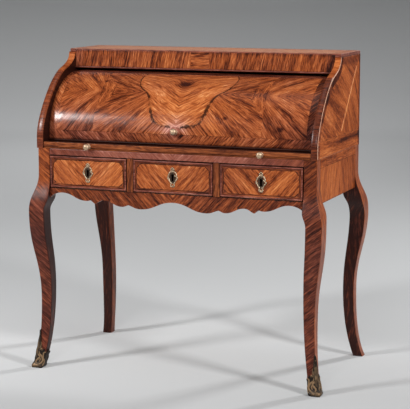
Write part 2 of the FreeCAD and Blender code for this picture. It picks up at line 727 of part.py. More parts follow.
def build_drawer(name, index):
    label = f"drawer_{name}"
    outer_low, outer_high = drawer_span(index, "drawer_gap")
    front_z = ("opening_low + drawer_gap", "opening_top - drawer_gap")
    side_low = "opening_low + drawer_run_gap"
    side_z = (side_low, f"{side_low} + opening_height - drawer_side_drop")
    blank = board(f"{label}_plank", (outer_low, outer_high), ("drawer_face_y", "front_back_y"), front_z)
    field = board(f"{label}_field", drawer_span(index, "drawer_gap + bead_width"),
                  ("drawer_face_y", "drawer_field_y"),
                  (f"{front_z[0]} + bead_width", f"{front_z[1]} - bead_width"))
    lock_x = (f"{index} * drawer_pitch - lock_width / 2", f"{index} * drawer_pitch + lock_width / 2")
    lock_y = ("front_back_y - lock_thickness", "front_back_y")
    lock_z = (f"{front_z[1]} - lock_height", front_z[1])
    lock = board(f"{label}_lock_case", lock_x, lock_y, lock_z)
    eye_z = f"(opening_low + opening_top) / 2 + {keyhole_rise_share} * escutcheon_height"
    key_way = keyhole(f"{label}_key_way", index, ("drawer_field_y", lock_y[0]), eye_z)
    side_inset = "drawer_gap + drawer_side_gap"
    side_out = drawer_span(index, side_inset)
    side_in = drawer_span(index, f"{side_inset} + drawer_side_thickness")
    bottom_low = f"{side_low} + drawer_bottom_rise"
    bottom_z = (bottom_low, f"{bottom_low} + drawer_bottom_thickness")
    bottom_x = drawer_span(index, f"{side_inset} + drawer_side_thickness - drawer_groove")
    bottom = board(f"{label}_bottom", bottom_x, ("front_back_y - drawer_groove", "drawer_back_y"), bottom_z)
    node(cut(f"{label}_front", blank, field, lock, key_way, bottom))
    left = board(f"{label}_side_a", (side_out[0], side_in[0]), ("front_back_y", "drawer_back_y"), side_z)
    right = board(f"{label}_side_b", (side_in[1], side_out[1]), ("front_back_y", "drawer_back_y"), side_z)
    back = board(f"{label}_back", side_in, ("drawer_back_y - drawer_side_thickness", "drawer_back_y"),
                 (bottom_z[1], side_z[1]))
    grooved = [cut(f"{label}_grooved_{which}", side, bottom) for which, side in (("a", left), ("b", right))]
    node(group(f"{label}_box", *grooved, back))
    node(bottom)
    plate = solid(f"{label}_plate", escutcheon_shape(index))
    plate_y = ("drawer_field_y - escutcheon_thickness", "drawer_field_y")
    node(cut(f"{label}_escutcheon", plate, keyhole(f"{label}_plate_hole", index, plate_y, eye_z)))
    bolt_z = (f"{front_z[1]} - bolt_height", front_z[1])
    slot = bolt_box(f"{label}_bolt_slot", index, bolt_z[0], bolt_z[1], "bolt_gap")
    node(cut(f"{label}_lock", lock, slot))
    node(bolt_box(f"{label}_bolt", index, bolt_z[0], f"{bolt_z[1]} - bolt_gap", "0"))


# Nest behind the cylinder: three small drawers under a row of pigeonholes.

def build_nest():
    floor_y = ("nest_front_y", "back_panel_y")
    nest_y = ("nest_front_y", "nest_back_y - nest_board")
    node(board("nest_floor", ("-panel_in", "panel_in"), floor_y, ("nest_floor_low", "nest_floor_top")))
    nest_z = ("nest_floor_top", "nest_top")
    node(group("nest_ends", *pair("nest_end", ("nest_in", "nest_side"), nest_y, nest_z)))
    node(board("nest_back", ("-nest_side", "nest_side"),
               ("nest_back_y - nest_board", "nest_back_y"), nest_z))
    inner_x = ("-nest_in", "nest_in")
    shelf_z = ("nest_shelf_low", "nest_shelf_low + nest_board")
    roof_z = ("nest_top - nest_board", "nest_top")
    node(group("nest_shelves", board("nest_shelf", inner_x, nest_y, shelf_z),
               board("nest_roof", inner_x, nest_y, roof_z)))
    low_row = pair("nest_drawer_divider", ("nest_cell / 2", "nest_cell / 2 + nest_board"), nest_y,
                   ("nest_floor_top", "nest_shelf_low"))
    hole_z = (shelf_z[1], roof_z[0])
    outer_row = pair("pigeonhole_outer", ("nest_cell / 2", "nest_cell / 2 + nest_board"), nest_y, hole_z)
    inner_row = board("pigeonhole_middle", ("-nest_board / 2", "nest_board / 2"), nest_y, hole_z)
    node(group("nest_dividers", *low_row, *outer_row, inner_row))


def build_nest_drawer(name, index):
    label = f"nest_drawer_{name}"
    gap, wall = "nest_drawer_gap", "nest_drawer_wall"
    centre = f"{index} * nest_pitch"

    def span(inset):
        return f"{centre} - nest_cell / 2 + ({inset})", f"{centre} + nest_cell / 2 - ({inset})"

    outer_z = (f"nest_floor_top + {gap}", f"nest_shelf_low - {gap}")
    front_back = "nest_front_y + nest_front_thickness"
    back_y = "nest_back_y - nest_board - nest_stop_gap"
    front = board(f"{label}_face", span(gap), ("nest_front_y", front_back), outer_z)
    knob_z = "(nest_floor_top + nest_shelf_low) / 2"
    bore = spigot(f"{label}_bore", "small_knob_scale_share", "spigot_gap")
    drilled = cut(f"{label}_front", front, seated(f"{label}_hole", bore, centre, "nest_front_y", knob_z))
    body = board(f"{label}_body", span(gap), (front_back, back_y), outer_z)
    hollow = board(f"{label}_hollow", span(f"{gap} + {wall}"), (front_back, f"{back_y} - {wall}"),
                   (f"{outer_z[0]} + nest_drawer_floor", outer_z[1]))
    node(group(f"{label}_box", drilled, cut(f"{label}_tray", body, hollow)))
    node(place(knob(f"{label}_knob", "small_knob_scale_share"), centre, "nest_front_y", knob_z, FORWARD))


def check_and_write():
    """Stops on any failed object, and otherwise writes one file per node."""
    doc.recompute()
    failed = [piece.Label for piece in doc.Objects if {"Invalid", "Error"} & set(piece.State)]
    bad = [piece.Label for piece in NODES if piece.Shape.isNull() or not piece.Shape.isValid()]
    if failed or bad:
        raise RuntimeError(f"failed objects {failed}, bad shapes {bad}")
    os.makedirs("parts", exist_ok=True)
    for piece in NODES:
        piece.Shape.exportStep(f"parts/{piece.Label}.step")
    print(len(NODES), "nodes written")


def main():
    fill_sheet()
    tenons = build_tenons()
    build_legs(tenons)
    build_lower_case(tenons)
    build_runners()
    build_upper_case()
    build_cylinder()
    build_slide()
    for name, index in DRAWERS.items():
        build_drawer(name, index)
    build_nest()
    for name, index in DRAWERS.items():
        build_nest_drawer(name, index)
    check_and_write()


main()
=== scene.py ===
import json
import math

import bmesh
import bpy
import numpy as np
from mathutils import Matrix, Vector

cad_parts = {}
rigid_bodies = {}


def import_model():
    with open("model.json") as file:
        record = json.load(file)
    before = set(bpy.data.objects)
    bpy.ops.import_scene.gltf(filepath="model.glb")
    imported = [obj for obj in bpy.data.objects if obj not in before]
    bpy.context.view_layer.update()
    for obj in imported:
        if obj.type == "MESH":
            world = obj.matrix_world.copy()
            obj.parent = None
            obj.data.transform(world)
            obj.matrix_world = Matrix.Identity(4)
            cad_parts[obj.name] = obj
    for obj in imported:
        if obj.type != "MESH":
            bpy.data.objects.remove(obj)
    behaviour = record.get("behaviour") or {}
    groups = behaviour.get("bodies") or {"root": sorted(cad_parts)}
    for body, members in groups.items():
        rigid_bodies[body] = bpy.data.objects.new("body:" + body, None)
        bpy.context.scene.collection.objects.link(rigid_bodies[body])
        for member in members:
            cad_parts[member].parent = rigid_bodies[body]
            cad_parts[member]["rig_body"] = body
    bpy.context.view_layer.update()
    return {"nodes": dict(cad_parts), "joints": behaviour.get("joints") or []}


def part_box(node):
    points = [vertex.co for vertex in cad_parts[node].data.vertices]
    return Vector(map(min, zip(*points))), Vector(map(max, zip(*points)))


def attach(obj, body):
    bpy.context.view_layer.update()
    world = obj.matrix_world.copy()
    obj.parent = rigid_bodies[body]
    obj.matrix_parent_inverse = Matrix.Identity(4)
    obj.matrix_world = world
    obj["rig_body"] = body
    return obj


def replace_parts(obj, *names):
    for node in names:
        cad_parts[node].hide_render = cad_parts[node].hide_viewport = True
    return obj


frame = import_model()

# A veneered cylinder desk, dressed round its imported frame. Metres, +Z up, the front faces -Y.
# A veneered face is a sheet of leaves: grids of points whose corners carry the map "grain" (metres across
# and along the figure) and the attribute "leaf" (lightness, violet share, distance to a joint line).

MM = 0.001
SIDES = (-1, 1)
HANDS = ((-1, "left"), (1, "right"))
DRAWERS = ("left", "centre", "right")
# A distance from joints at which no line shows, and how near points are when they are welded
NO_JOINT = 50 * MM
WELD = 0.002 * MM
CAD_WELD = 0.005 * MM
CAD_FLAT = math.radians(1)
# Metres between the figures of two leaves, and the angle from which an edge is an arris
FIGURE_STEP = 2.9
SHARP = math.radians(38)


def span(node):
    """Lowest and highest corner of a CAD node at rest, as arrays."""
    return [np.array(corner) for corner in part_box(node)]


def ink(red, green, blue):
    """A colour named by its screen values, 0 to 255, as linear light."""
    share = np.array([red, green, blue]) / 255
    linear = np.where(share <= 0.04045, share / 12.92, ((share + 0.055) / 1.055) ** 2.4)
    return (*linear.tolist(), 1.0)


def climb(value, start, length):
    """Nothing up to a start, one past its length, and straight between them; both in millimetres."""
    return np.clip((value - start * MM) / (length * MM), 0, 1)


def hump(value, middle, width):
    """A bell curve that is one at its middle; middle and width in millimetres."""
    return np.exp(-((value - middle * MM) / (width * MM)) ** 2)


def slanted(first, second, slant):
    """Places across and along a grain that is turned by a slant from two square directions."""
    across = first * math.cos(slant) - second * math.sin(slant)
    return across, first * math.sin(slant) + second * math.cos(slant)


# Shader nodes

class Bench:
    """A node tree with short calls: each takes sockets or plain values and gives back a socket."""

    def __init__(self, tree):
        self.tree = tree

    def feed(self, socket, value):
        if isinstance(value, bpy.types.NodeSocket):
            self.tree.links.new(value, socket)
        else:
            socket.default_value = value

    def node(self, kind, inputs=None, **settings):
        made = self.tree.nodes.new(kind)
        for key, value in settings.items():
            setattr(made, key, value)
        for key, value in (inputs or {}).items():
            self.feed(made.inputs[key], value)
        return made

    def math(self, operation, *values, clamp=False):
        made = self.node("ShaderNodeMath", dict(enumerate(values)), operation=operation, use_clamp=clamp)
        return made.outputs[0]

    def centred(self, value):
        return self.math("SUBTRACT", value, 0.5)

    def scaled(self, vector, by):
        made = self.node("ShaderNodeVectorMath", {0: vector, 1: by}, operation="MULTIPLY")
        return made.outputs[0]

    def shifted(self, vector, by):
        made = self.node("ShaderNodeVectorMath", {0: vector, 1: by}, operation="ADD")
        return made.outputs[0]

    def noise(self, vector, scale=1.0, detail=2.0, rough=0.5):
        made = self.node("ShaderNodeTexNoise", {"Vector": vector, "Scale": scale, "Detail": detail,
                                                "Roughness": rough})
        return made.outputs["Fac"]

    def mask(self, value, low, high, floor=0.0, ceiling=1.0):
        made = self.node("ShaderNodeMapRange", {0: value, 1: low, 2: high, 3: floor, 4: ceiling},
                         interpolation_type="SMOOTHSTEP")
        return made.outputs[0]

    def mix(self, share, first, second):
        made = self.node("ShaderNodeMix", {0: share, 6: first, 7: second}, data_type="RGBA")
        return made.outputs[2]

    def ramp(self, value, stops):
        made = self.node("ShaderNodeValToRGB", {0: value})
        elements = made.color_ramp.elements
        while len(elements) < len(stops):
            elements.new(0.5)
        for element, (place, colour) in zip(elements, stops):
            element.position = place
            element.color = colour
        return made.outputs[0]

    def parts(self, vector):
        return self.node("ShaderNodeSeparateXYZ", {0: vector}).outputs

    def joined(self, x, y, z):
        return self.node("ShaderNodeCombineXYZ", {0: x, 1: y, 2: z}).outputs[0]

    def group(self, tree, inputs):
        return self.node("ShaderNodeGroup", inputs, node_tree=tree).outputs

    def place(self):
        return self.node("ShaderNodeTexCoord").outputs["Object"]

    def attribute(self, name, output):
        return self.node("ShaderNodeAttribute", attribute_name=name).outputs[output]

    def bump(self, shader, height, strength, distance):
        made = self.node("ShaderNodeBump", {"Height": height, "Strength": strength, "Distance": distance})
        self.feed(shader.inputs["Normal"], made.outputs[0])


def new_group(name, vector, values, outputs):
    """An empty shader group that takes one vector and some values: its bench, inputs and output sockets."""
    tree = bpy.data.node_groups.new(name, "ShaderNodeTree")
    tree.interface.new_socket(vector, in_out="INPUT", socket_type="NodeSocketVector")
    for label in values:
        tree.interface.new_socket(label, in_out="INPUT", socket_type="NodeSocketFloat")
    for label in outputs:
        tree.interface.new_socket(label, in_out="OUTPUT", socket_type="NodeSocketFloat")
    bench = Bench(tree)
    return bench, bench.node("NodeGroupInput").outputs, bench.node("NodeGroupOutput").inputs


# Noise steps per metre across and along the grain, and how strongly each kind of streak shows
DRIFT_STEPS = (16, 7, 16)
BROAD_ALONG = 2.5
LINE_STEPS, LINE_GAIN = (190, 8, 190), 1.05
FLECK_STEPS, FLECK_GAIN = (300, 42, 300), 1.25
FINE_STEPS, FINE_GAIN = (700, 18, 700), 0.8
PORE_STEPS, PORE_RANGE = (1100, 45, 1100), (0.58, 0.70)
FADED_STEPS, FADED_RANGE = 7.0, (0.35, 0.68)
SMEAR_STEPS = 38.0
DUST_STEPS, DUST_RANGE = 120.0, (0.45, 0.75)


def wood_figure_group():
    """Streaked wood: the place across the grain wanders, then broad bands, lines, short flecks, fine lines
    and pores are noises stretched along the grain by different amounts."""
    bench, given, out = new_group("wood figure", "Grain", ("Bands", "Depth", "Contrast", "Wander"),
                                  ("Tone", "Pores", "Height"))
    drift = bench.noise(bench.scaled(given["Grain"], DRIFT_STEPS), detail=2)
    shove = bench.math("MULTIPLY", bench.centred(drift), given["Wander"])
    grain = bench.shifted(given["Grain"], bench.joined(shove, 0.0, shove))
    broad_steps = bench.joined(given["Bands"], BROAD_ALONG, given["Bands"])
    broad = bench.noise(bench.scaled(grain, broad_steps), detail=3, rough=0.55)
    lines = bench.noise(bench.scaled(grain, LINE_STEPS), detail=2)
    flecks = bench.noise(bench.scaled(grain, FLECK_STEPS), detail=3, rough=0.6)
    fine = bench.noise(bench.scaled(grain, FINE_STEPS), detail=2)
    pores = bench.mask(bench.noise(bench.scaled(grain, PORE_STEPS), detail=1), *PORE_RANGE)
    swing = bench.math("MULTIPLY", bench.centred(broad), given["Depth"])
    for layer, gain in ((lines, LINE_GAIN), (flecks, FLECK_GAIN), (fine, FINE_GAIN)):
        swing = bench.math("MULTIPLY_ADD", bench.centred(layer), gain, swing)
    bench.feed(out["Tone"], bench.math("MULTIPLY_ADD", swing, given["Contrast"], 0.5))
    bench.feed(out["Pores"], pores)
    bench.feed(out["Height"], bench.math("SUBTRACT", bench.math("MULTIPLY", fine, 0.5), pores))
    return bench.tree


def handling_group():
    """Marks of use: slow clouds for faded patches, finer clouds for uneven polish, and specks of dust."""
    bench, given, out = new_group("handling", "Place", (), ("Faded", "Smears", "Dust"))
    bench.feed(out["Faded"], bench.mask(bench.noise(given["Place"], FADED_STEPS, 3), *FADED_RANGE))
    bench.feed(out["Smears"], bench.noise(given["Place"], SMEAR_STEPS, 4, 0.6))
    bench.feed(out["Dust"], bench.mask(bench.noise(given["Place"], DUST_STEPS, 3), *DUST_RANGE))
    return bench.tree


WOOD_FIGURE = wood_figure_group()
HANDLING = handling_group()


def new_material(name):
    """A material with its Principled shader, and the bench to feed it."""
    material = bpy.data.materials.new(name)
    material.use_nodes = True
    bench = Bench(material.node_tree)
    shader = next(node for node in material.node_tree.nodes if node.type == "BSDF_PRINCIPLED")
    return material, bench, shader


WARM_STOPS = ((0.00, ink(62, 23, 12)), (0.25, ink(124, 57, 27)), (0.50, ink(177, 92, 46)),
              (0.74, ink(208, 120, 64)), (1.00, ink(232, 158, 98)))
VIOLET_STOPS = ((0.00, ink(40, 15, 11)), (0.28, ink(90, 43, 33)), (0.54, ink(134, 70, 54)),
                (0.78, ink(170, 104, 86)), (1.00, ink(220, 158, 142)))
OAK_STOPS = ((0.00, ink(82, 52, 28)), (0.35, ink(128, 88, 52)), (0.65, ink(162, 120, 76)),
             (1.00, ink(188, 150, 102)))
EDGE_STOPS = ((0.00, ink(50, 18, 9)), (0.28, ink(92, 42, 21)), (0.52, ink(140, 73, 38)),
              (0.78, ink(168, 93, 50)), (1.00, ink(192, 120, 70)))
# A dark stain, which also stands for painted shade in gaps and on faces that the light does not reach
STAIN_AND_SHADE_STOPS = ((0.00, ink(20, 8, 6)), (0.40, ink(44, 18, 12)), (0.70, ink(64, 28, 18)),
               (1.00, ink(86, 42, 28)))
STRING_STOPS = ((0.00, ink(186, 118, 88)), (0.40, ink(226, 168, 136)), (0.70, ink(240, 192, 162)),
                (1.00, ink(248, 212, 186)))
IRON_STOPS = ((0.3, ink(46, 42, 40)), (0.6, ink(84, 80, 78)), (0.75, ink(120, 116, 112)))
JOINT_INK = ink(30, 12, 8)
RUST_INK = ink(70, 42, 28)
HIDE_INK, FADED_HIDE_INK, GRIMED_HIDE_INK = ink(66, 44, 26), ink(104, 74, 44), ink(48, 32, 20)
TOOLED_INK = ink(190, 150, 82)

POLISH_SPREAD, PORE_DULLING = 0.22, 0.10
LEAF_SWING, CLOUD_SHARE = 1.1, 0.9
CLOUD_STEPS, RAGGED_STEPS, WORN_STEPS = 11.0, 95.0, 45.0
VENEER_PORES, BOARD_PORES = 0.45, 0.4
JOINT_RAGGED, JOINT_FULL, JOINT_END, JOINT_SHARE = 7 * MM, 1.2 * MM, 3.2 * MM, 0.88
BOARD_DEPTH, BOARD_CONTRAST, BOARD_WANDER, BOARD_FADING = 1.0, 0.9, 0.02, 0.3
METAL_SPREAD, DUST_BITE, TARNISH_EDGE, TARNISH_METAL = 0.3, 0.22, 0.28, 0.55
GRIT_STEPS, PEBBLE_STEPS = 900.0, 900.0
SCRATCH_STEPS = (60, 60, 1500)
TOOLED_LINES = ((12, 0.4, 0.9), (17, 1.2, 1.8))


def finish_wood(bench, shader, figure, place, gloss, specular):
    """The polish that all woods share: uneven gloss, pores that dull it, and a shallow bump. Gives back the
    marks of use."""
    marks = bench.group(HANDLING, {"Place": place})
    rough = bench.math("MULTIPLY_ADD", marks["Smears"], POLISH_SPREAD, gloss - POLISH_SPREAD / 2)
    rough = bench.math("MULTIPLY_ADD", figure["Pores"], PORE_DULLING, rough)
    bench.feed(shader.inputs["Roughness"], rough)
    bench.bump(shader, figure["Height"], 0.12, 0.3 * MM)
    shader.inputs["Specular IOR Level"].default_value = specular
    return marks


def veneer_material(name, bands=62, depth=1.0, contrast=1.0, wander=0.014, gloss=0.27, specular=0.22):
    """Veneer laid in leaves: streaks follow the map "grain", warm and violet woods are mixed by leaf,
    and a dark line is drawn where a joint is near."""
    material, bench, shader = new_material(name)
    grain = bench.node("ShaderNodeUVMap", uv_map="grain").outputs[0]
    light, violet, joint = bench.parts(bench.attribute("leaf", "Vector"))
    figure = bench.group(WOOD_FIGURE, {"Grain": grain, "Bands": bands, "Depth": depth, "Contrast": contrast,
                                       "Wander": wander})
    place = bench.place()
    tone = bench.math("ADD", figure["Tone"], bench.math("MULTIPLY_ADD", light, LEAF_SWING, -LEAF_SWING / 2))
    cloud = bench.centred(bench.noise(place, CLOUD_STEPS, 2))
    share = bench.math("MULTIPLY_ADD", cloud, CLOUD_SHARE, violet, clamp=True)
    colour = bench.mix(share, bench.ramp(tone, WARM_STOPS), bench.ramp(tone, VIOLET_STOPS))
    colour = bench.mix(bench.math("MULTIPLY", figure["Pores"], VENEER_PORES), colour, JOINT_INK)
    tremble = bench.centred(bench.noise(place, RAGGED_STEPS, 3))
    ragged = bench.math("MULTIPLY_ADD", tremble, JOINT_RAGGED, joint)
    line = bench.mask(ragged, JOINT_FULL, JOINT_END, JOINT_SHARE, 0.0)
    kept = bench.mask(bench.noise(place, WORN_STEPS, 2), 0.34, 0.52, 0.3, 1.0)
    colour = bench.mix(bench.math("MULTIPLY", line, kept), colour, JOINT_INK)
    bench.feed(shader.inputs["Base Color"], colour)
    finish_wood(bench, shader, figure, place, gloss, specular)
    return material


def board_material(name, turn, stops, bands=46, gloss=0.45, specular=0.2):
    """Solid wood on Object coordinates, turned so that the grain runs along one axis of the desk. Faded
    patches drift towards the wood's second tone."""
    material, bench, shader = new_material(name)
    place = bench.place()
    grain = bench.node("ShaderNodeMapping", {"Vector": place, "Rotation": turn}).outputs[0]
    figure = bench.group(WOOD_FIGURE, {"Grain": grain, "Bands": bands, "Depth": BOARD_DEPTH,
                                       "Contrast": BOARD_CONTRAST, "Wander": BOARD_WANDER})
    colour = bench.ramp(figure["Tone"], stops)
    colour = bench.mix(bench.math("MULTIPLY", figure["Pores"], BOARD_PORES), colour, JOINT_INK)
    marks = finish_wood(bench, shader, figure, place, gloss, specular)
    faded = bench.mix(bench.math("MULTIPLY", marks["Faded"], BOARD_FADING), colour, stops[1][1])
    bench.feed(shader.inputs["Base Color"], faded)
    return material


ALONG_X = (0.0, 0.0, math.pi / 2)
ALONG_Y = (0.0, 0.0, 0.0)
ALONG_Z = (-math.pi / 2, 0.0, 0.0)


def metal_material(name, bare, tarnish, rough, tarnish_share):
    """Cast and chased metal: bright where the attribute "relief" stands high, tarnished in the hollows."""
    material, bench, shader = new_material(name)
    relief = bench.attribute("relief", "Fac")
    place = bench.place()
    marks = bench.group(HANDLING, {"Place": place})
    speckle = bench.math("MULTIPLY_ADD", marks["Dust"], -DUST_BITE, relief)
    rubbed = bench.mask(speckle, tarnish_share - TARNISH_EDGE, tarnish_share + TARNISH_EDGE)
    bench.feed(shader.inputs["Base Color"], bench.mix(rubbed, tarnish, bare))
    uneven = bench.math("MULTIPLY_ADD", marks["Smears"], METAL_SPREAD, rough - METAL_SPREAD / 2)
    bench.feed(shader.inputs["Roughness"], uneven)
    bench.feed(shader.inputs["Metallic"], bench.mask(rubbed, 0.0, 1.0, TARNISH_METAL, 1.0))
    bench.bump(shader, bench.noise(place, GRIT_STEPS, 3), 0.15, 0.2 * MM)
    return material


def iron_material():
    """Lock iron: dark plate with level filed scratches and rust blooms."""
    material, bench, shader = new_material("lock iron")
    place = bench.place()
    marks = bench.group(HANDLING, {"Place": place})
    colour = bench.ramp(bench.noise(bench.scaled(place, SCRATCH_STEPS), detail=2), IRON_STOPS)
    bench.feed(shader.inputs["Base Color"], bench.mix(marks["Dust"], colour, RUST_INK))
    bench.feed(shader.inputs["Roughness"], bench.math("MULTIPLY_ADD", marks["Smears"], METAL_SPREAD, 0.35))
    shader.inputs["Metallic"].default_value = 0.85
    return material


def leather_material():
    """Worn brown hide: pebbled bump, faded clouds, and two tooled gilt lines at set distances from the edge,
    read from the attribute "leaf" of the sheet."""
    material, bench, shader = new_material("desk leather")
    place = bench.place()
    marks = bench.group(HANDLING, {"Place": place})
    edge = bench.parts(bench.attribute("leaf", "Vector"))[2]
    pebbles = bench.node("ShaderNodeTexVoronoi", {"Vector": place, "Scale": PEBBLE_STEPS}).outputs["Distance"]
    hide = bench.mix(marks["Faded"], HIDE_INK, FADED_HIDE_INK)
    hide = bench.mix(bench.math("MULTIPLY", marks["Dust"], 0.35), hide, GRIMED_HIDE_INK)
    lines = []
    for middle, full, end in TOOLED_LINES:
        away = bench.math("ABSOLUTE", bench.math("SUBTRACT", edge, middle * MM))
        lines.append(bench.mask(away, full * MM, end * MM, 1.0, 0.0))
    gilt = bench.math("MAXIMUM", *lines)
    worn = bench.math("MULTIPLY", gilt, bench.mask(marks["Smears"], 0.36, 0.48))
    bench.feed(shader.inputs["Base Color"], bench.mix(worn, hide, TOOLED_INK))
    bench.feed(shader.inputs["Metallic"], bench.math("MULTIPLY", worn, 0.8))
    bench.feed(shader.inputs["Roughness"], bench.math("MULTIPLY_ADD", marks["Smears"], 0.25, 0.42))
    bench.bump(shader, bench.math("SUBTRACT", pebbles, gilt), 0.3, 0.4 * MM)
    return material


VENEER = veneer_material("rosewood veneer", depth=1.1, contrast=0.78)
FALL_VENEER = veneer_material("fall veneer", bands=20, depth=1.3, contrast=0.95, wander=0.022, gloss=0.18)
SIDE_VENEER = veneer_material("side veneer", bands=26, depth=1.8, contrast=0.62, gloss=0.36, specular=0.03)
LEG_VENEER = veneer_material("leg veneer", bands=110, depth=0.8, contrast=0.74, gloss=0.34, specular=0.2)
EDGE_VENEER = veneer_material("edge veneer", bands=110, depth=0.8, contrast=0.5, gloss=0.28, specular=0.3)
FRIEZE_VENEER = veneer_material("frieze veneer", bands=60, depth=1.2, contrast=0.95)
TOP_VENEER = veneer_material("top veneer", contrast=0.7, gloss=0.34, specular=0.5)
EDGE_X = board_material("slide edge", ALONG_X, EDGE_STOPS, bands=90, gloss=0.36)
VIOLET_X = board_material("kingwood rail", ALONG_X, VIOLET_STOPS, bands=90, gloss=0.34, specular=0.3)
EDGE_Z = board_material("drawer divider", ALONG_Z, EDGE_STOPS, bands=80, gloss=0.38)
# A dark stain that also paints the shade on the side panels' inner faces
STAIN_AND_SHADE_Y = board_material("stained panel painted shade", ALONG_Y, STAIN_AND_SHADE_STOPS, bands=60, gloss=0.45, specular=0.15)
# A dark stain that also paints the shade in gaps: the fall's lip, the slide's ledge and board, the drawer
# fronts' edges
STAIN_AND_SHADE_X = board_material("stained edge painted shade", ALONG_X, STAIN_AND_SHADE_STOPS, bands=80, gloss=0.45, specular=0.15)
STRING_WOOD = board_material("pale string", ALONG_Z, STRING_STOPS, bands=80, gloss=0.34, specular=0.3)
OAK_X = board_material("oak along", ALONG_X, OAK_STOPS, gloss=0.58)
OAK_Y = board_material("oak deep", ALONG_Y, OAK_STOPS, gloss=0.58)
OAK_Z = board_material("oak upright", ALONG_Z, OAK_STOPS, gloss=0.58)
GILT = metal_material("gilt bronze", ink(192, 170, 142), ink(70, 53, 40), 0.42, 0.50)
DARK_BRONZE = metal_material("worn bronze", ink(152, 124, 95), ink(38, 28, 20), 0.46, 0.58)
BRASS = metal_material("knob brass", ink(216, 188, 158), ink(134, 106, 78), 0.48, 0.34)
IRON = iron_material()
LEATHER = leather_material()


# Mesh helpers

# How heavy the dark line at each kind of joint is, 1 being full; along the drawer openings (apron and rail
# face) the line is dirt and painted shade in the crevice
LINES = {"fall end": 0.35, "fall band": 0.4, "apron": 0.8, "panel": 0.35, "rail": 0.3, "top": 0.4,
         "rail face": 0.6, "drawer": 0.5}


def grid_quads(rows, columns, wrap_rows=False, wrap_columns=False):
    """Corner numbers of the quads of a grid; a wrapped direction joins its last line to its first."""
    index = np.arange(rows * columns).reshape(rows, columns)
    if wrap_rows:
        index = np.concatenate([index, index[:1]])
    if wrap_columns:
        index = np.concatenate([index, index[:, :1]], 1)
    return np.stack([index[:-1, :-1], index[:-1, 1:], index[1:, 1:], index[1:, :-1]], -1).reshape(-1, 4)


def between(first, last, shares):
    """A grid drawn between two lines of points: each row runs straight from one line to the other."""
    first, last = np.asarray(first, float), np.asarray(last, float)
    return first[:, None] * (1 - shares)[None, :, None] + last[:, None] * shares[None, :, None]


def smooth_line(points, count):
    """A smooth line through a few points: cubic pieces whose slope at a point follows from its neighbours."""
    points = np.asarray(points, float)
    padded = np.concatenate([2 * points[:1] - points[1:2], points, 2 * points[-1:] - points[-2:-1]])
    place = np.linspace(0, len(points) - 1, count)
    piece = np.minimum(place.astype(int), len(points) - 2)
    t = (place - piece)[:, None]
    before, start, end, after = (padded[piece + step] for step in range(4))
    return 0.5 * (2 * start + (end - before) * t + (2 * before - 5 * start + 4 * end - after) * t ** 2
                  + (3 * start - before - 3 * end + after) * t ** 3)


def bezier(points, count):
    """A cubic Bezier curve by its four points."""
    t = np.linspace(0, 1, count)[:, None]
    a, b, c, d = (np.asarray(point, float) for point in points)
    return a * (1 - t) ** 3 + 3 * b * t * (1 - t) ** 2 + 3 * c * t ** 2 * (1 - t) + d * t ** 3


def chain(pieces):
    """Lines laid end to end as one, with each shared point kept once."""
    return np.concatenate([pieces[0]] + [piece[1:] for piece in pieces[1:]])


def tangents(line):
    """The direction ahead at each point of a line, one long."""
    ahead = np.gradient(line, axis=0)
    return ahead / np.linalg.norm(ahead, axis=1, keepdims=True)


def new_mesh(name, points, faces):
    """A mesh of an array of points and a list of faces by their corner numbers."""
    mesh = bpy.data.meshes.new(name)
    mesh.from_pydata(points.reshape(-1, 3).tolist(), [], faces)
    return mesh


def mark_corners(mesh, grain, leaf):
    """Writes the map "grain" and the attribute "leaf" at every corner."""
    layer = mesh.uv_layers.new(name="grain")
    layer.data.foreach_set("uv", grain.astype(np.float32).ravel())
    marks = mesh.attributes.new("leaf", "FLOAT_VECTOR", "CORNER")
    marks.data.foreach_set("vector", leaf.astype(np.float32).ravel())


def face_vectors(mesh, reading):
    """One vector for each face of a mesh, its normal or its center."""
    vectors = np.empty(len(mesh.polygons) * 3)
    mesh.polygons.foreach_get(reading, vectors)
    return vectors.reshape(-1, 3)


def refinish(mesh, chosen):
    """Gives the chosen faces the second of a mesh's two materials."""
    mesh.polygons.foreach_set("material_index", chosen.astype(np.int32))


def weld(mesh):
    """Points that fall together become one, and faces left without area go."""
    bm = bmesh.new()
    bm.from_mesh(mesh)
    bmesh.ops.remove_doubles(bm, verts=bm.verts, dist=WELD)
    bmesh.ops.dissolve_degenerate(bm, edges=bm.edges, dist=WELD / 2)
    bm.to_mesh(mesh)
    bm.free()


def add_piece(name, mesh, body, materials):
    """Puts a mesh into the scene as a piece of the desk, smooth but for its arrises."""
    for material in materials:
        mesh.materials.append(material)
    mesh.shade_smooth()
    mesh.set_sharp_from_angle(angle=SHARP)
    piece = bpy.data.objects.new(name, mesh)
    bpy.context.scene.collection.objects.link(piece)
    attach(piece, body)
    return piece


def ease(piece, width, segments=2):
    """Rounds every arris of a piece a little."""
    rounding = piece.modifiers.new("eased arris", "BEVEL")
    rounding.width = width
    rounding.segments = segments
    rounding.limit_method = "ANGLE"
    rounding.angle_limit = SHARP
    rounding.harden_normals = True
    return piece


def thicken(piece, thickness, arris=0.6 * MM, core=0, rim=0):
    """Gives a sheet its board: a wall grows inwards from the show face, and the arrises are eased."""
    wall = piece.modifiers.new("board", "SOLIDIFY")
    wall.thickness = thickness
    wall.offset = -1
    wall.use_even_offset = True
    wall.material_offset = core
    wall.material_offset_rim = rim
    return ease(piece, arris) if arris else piece


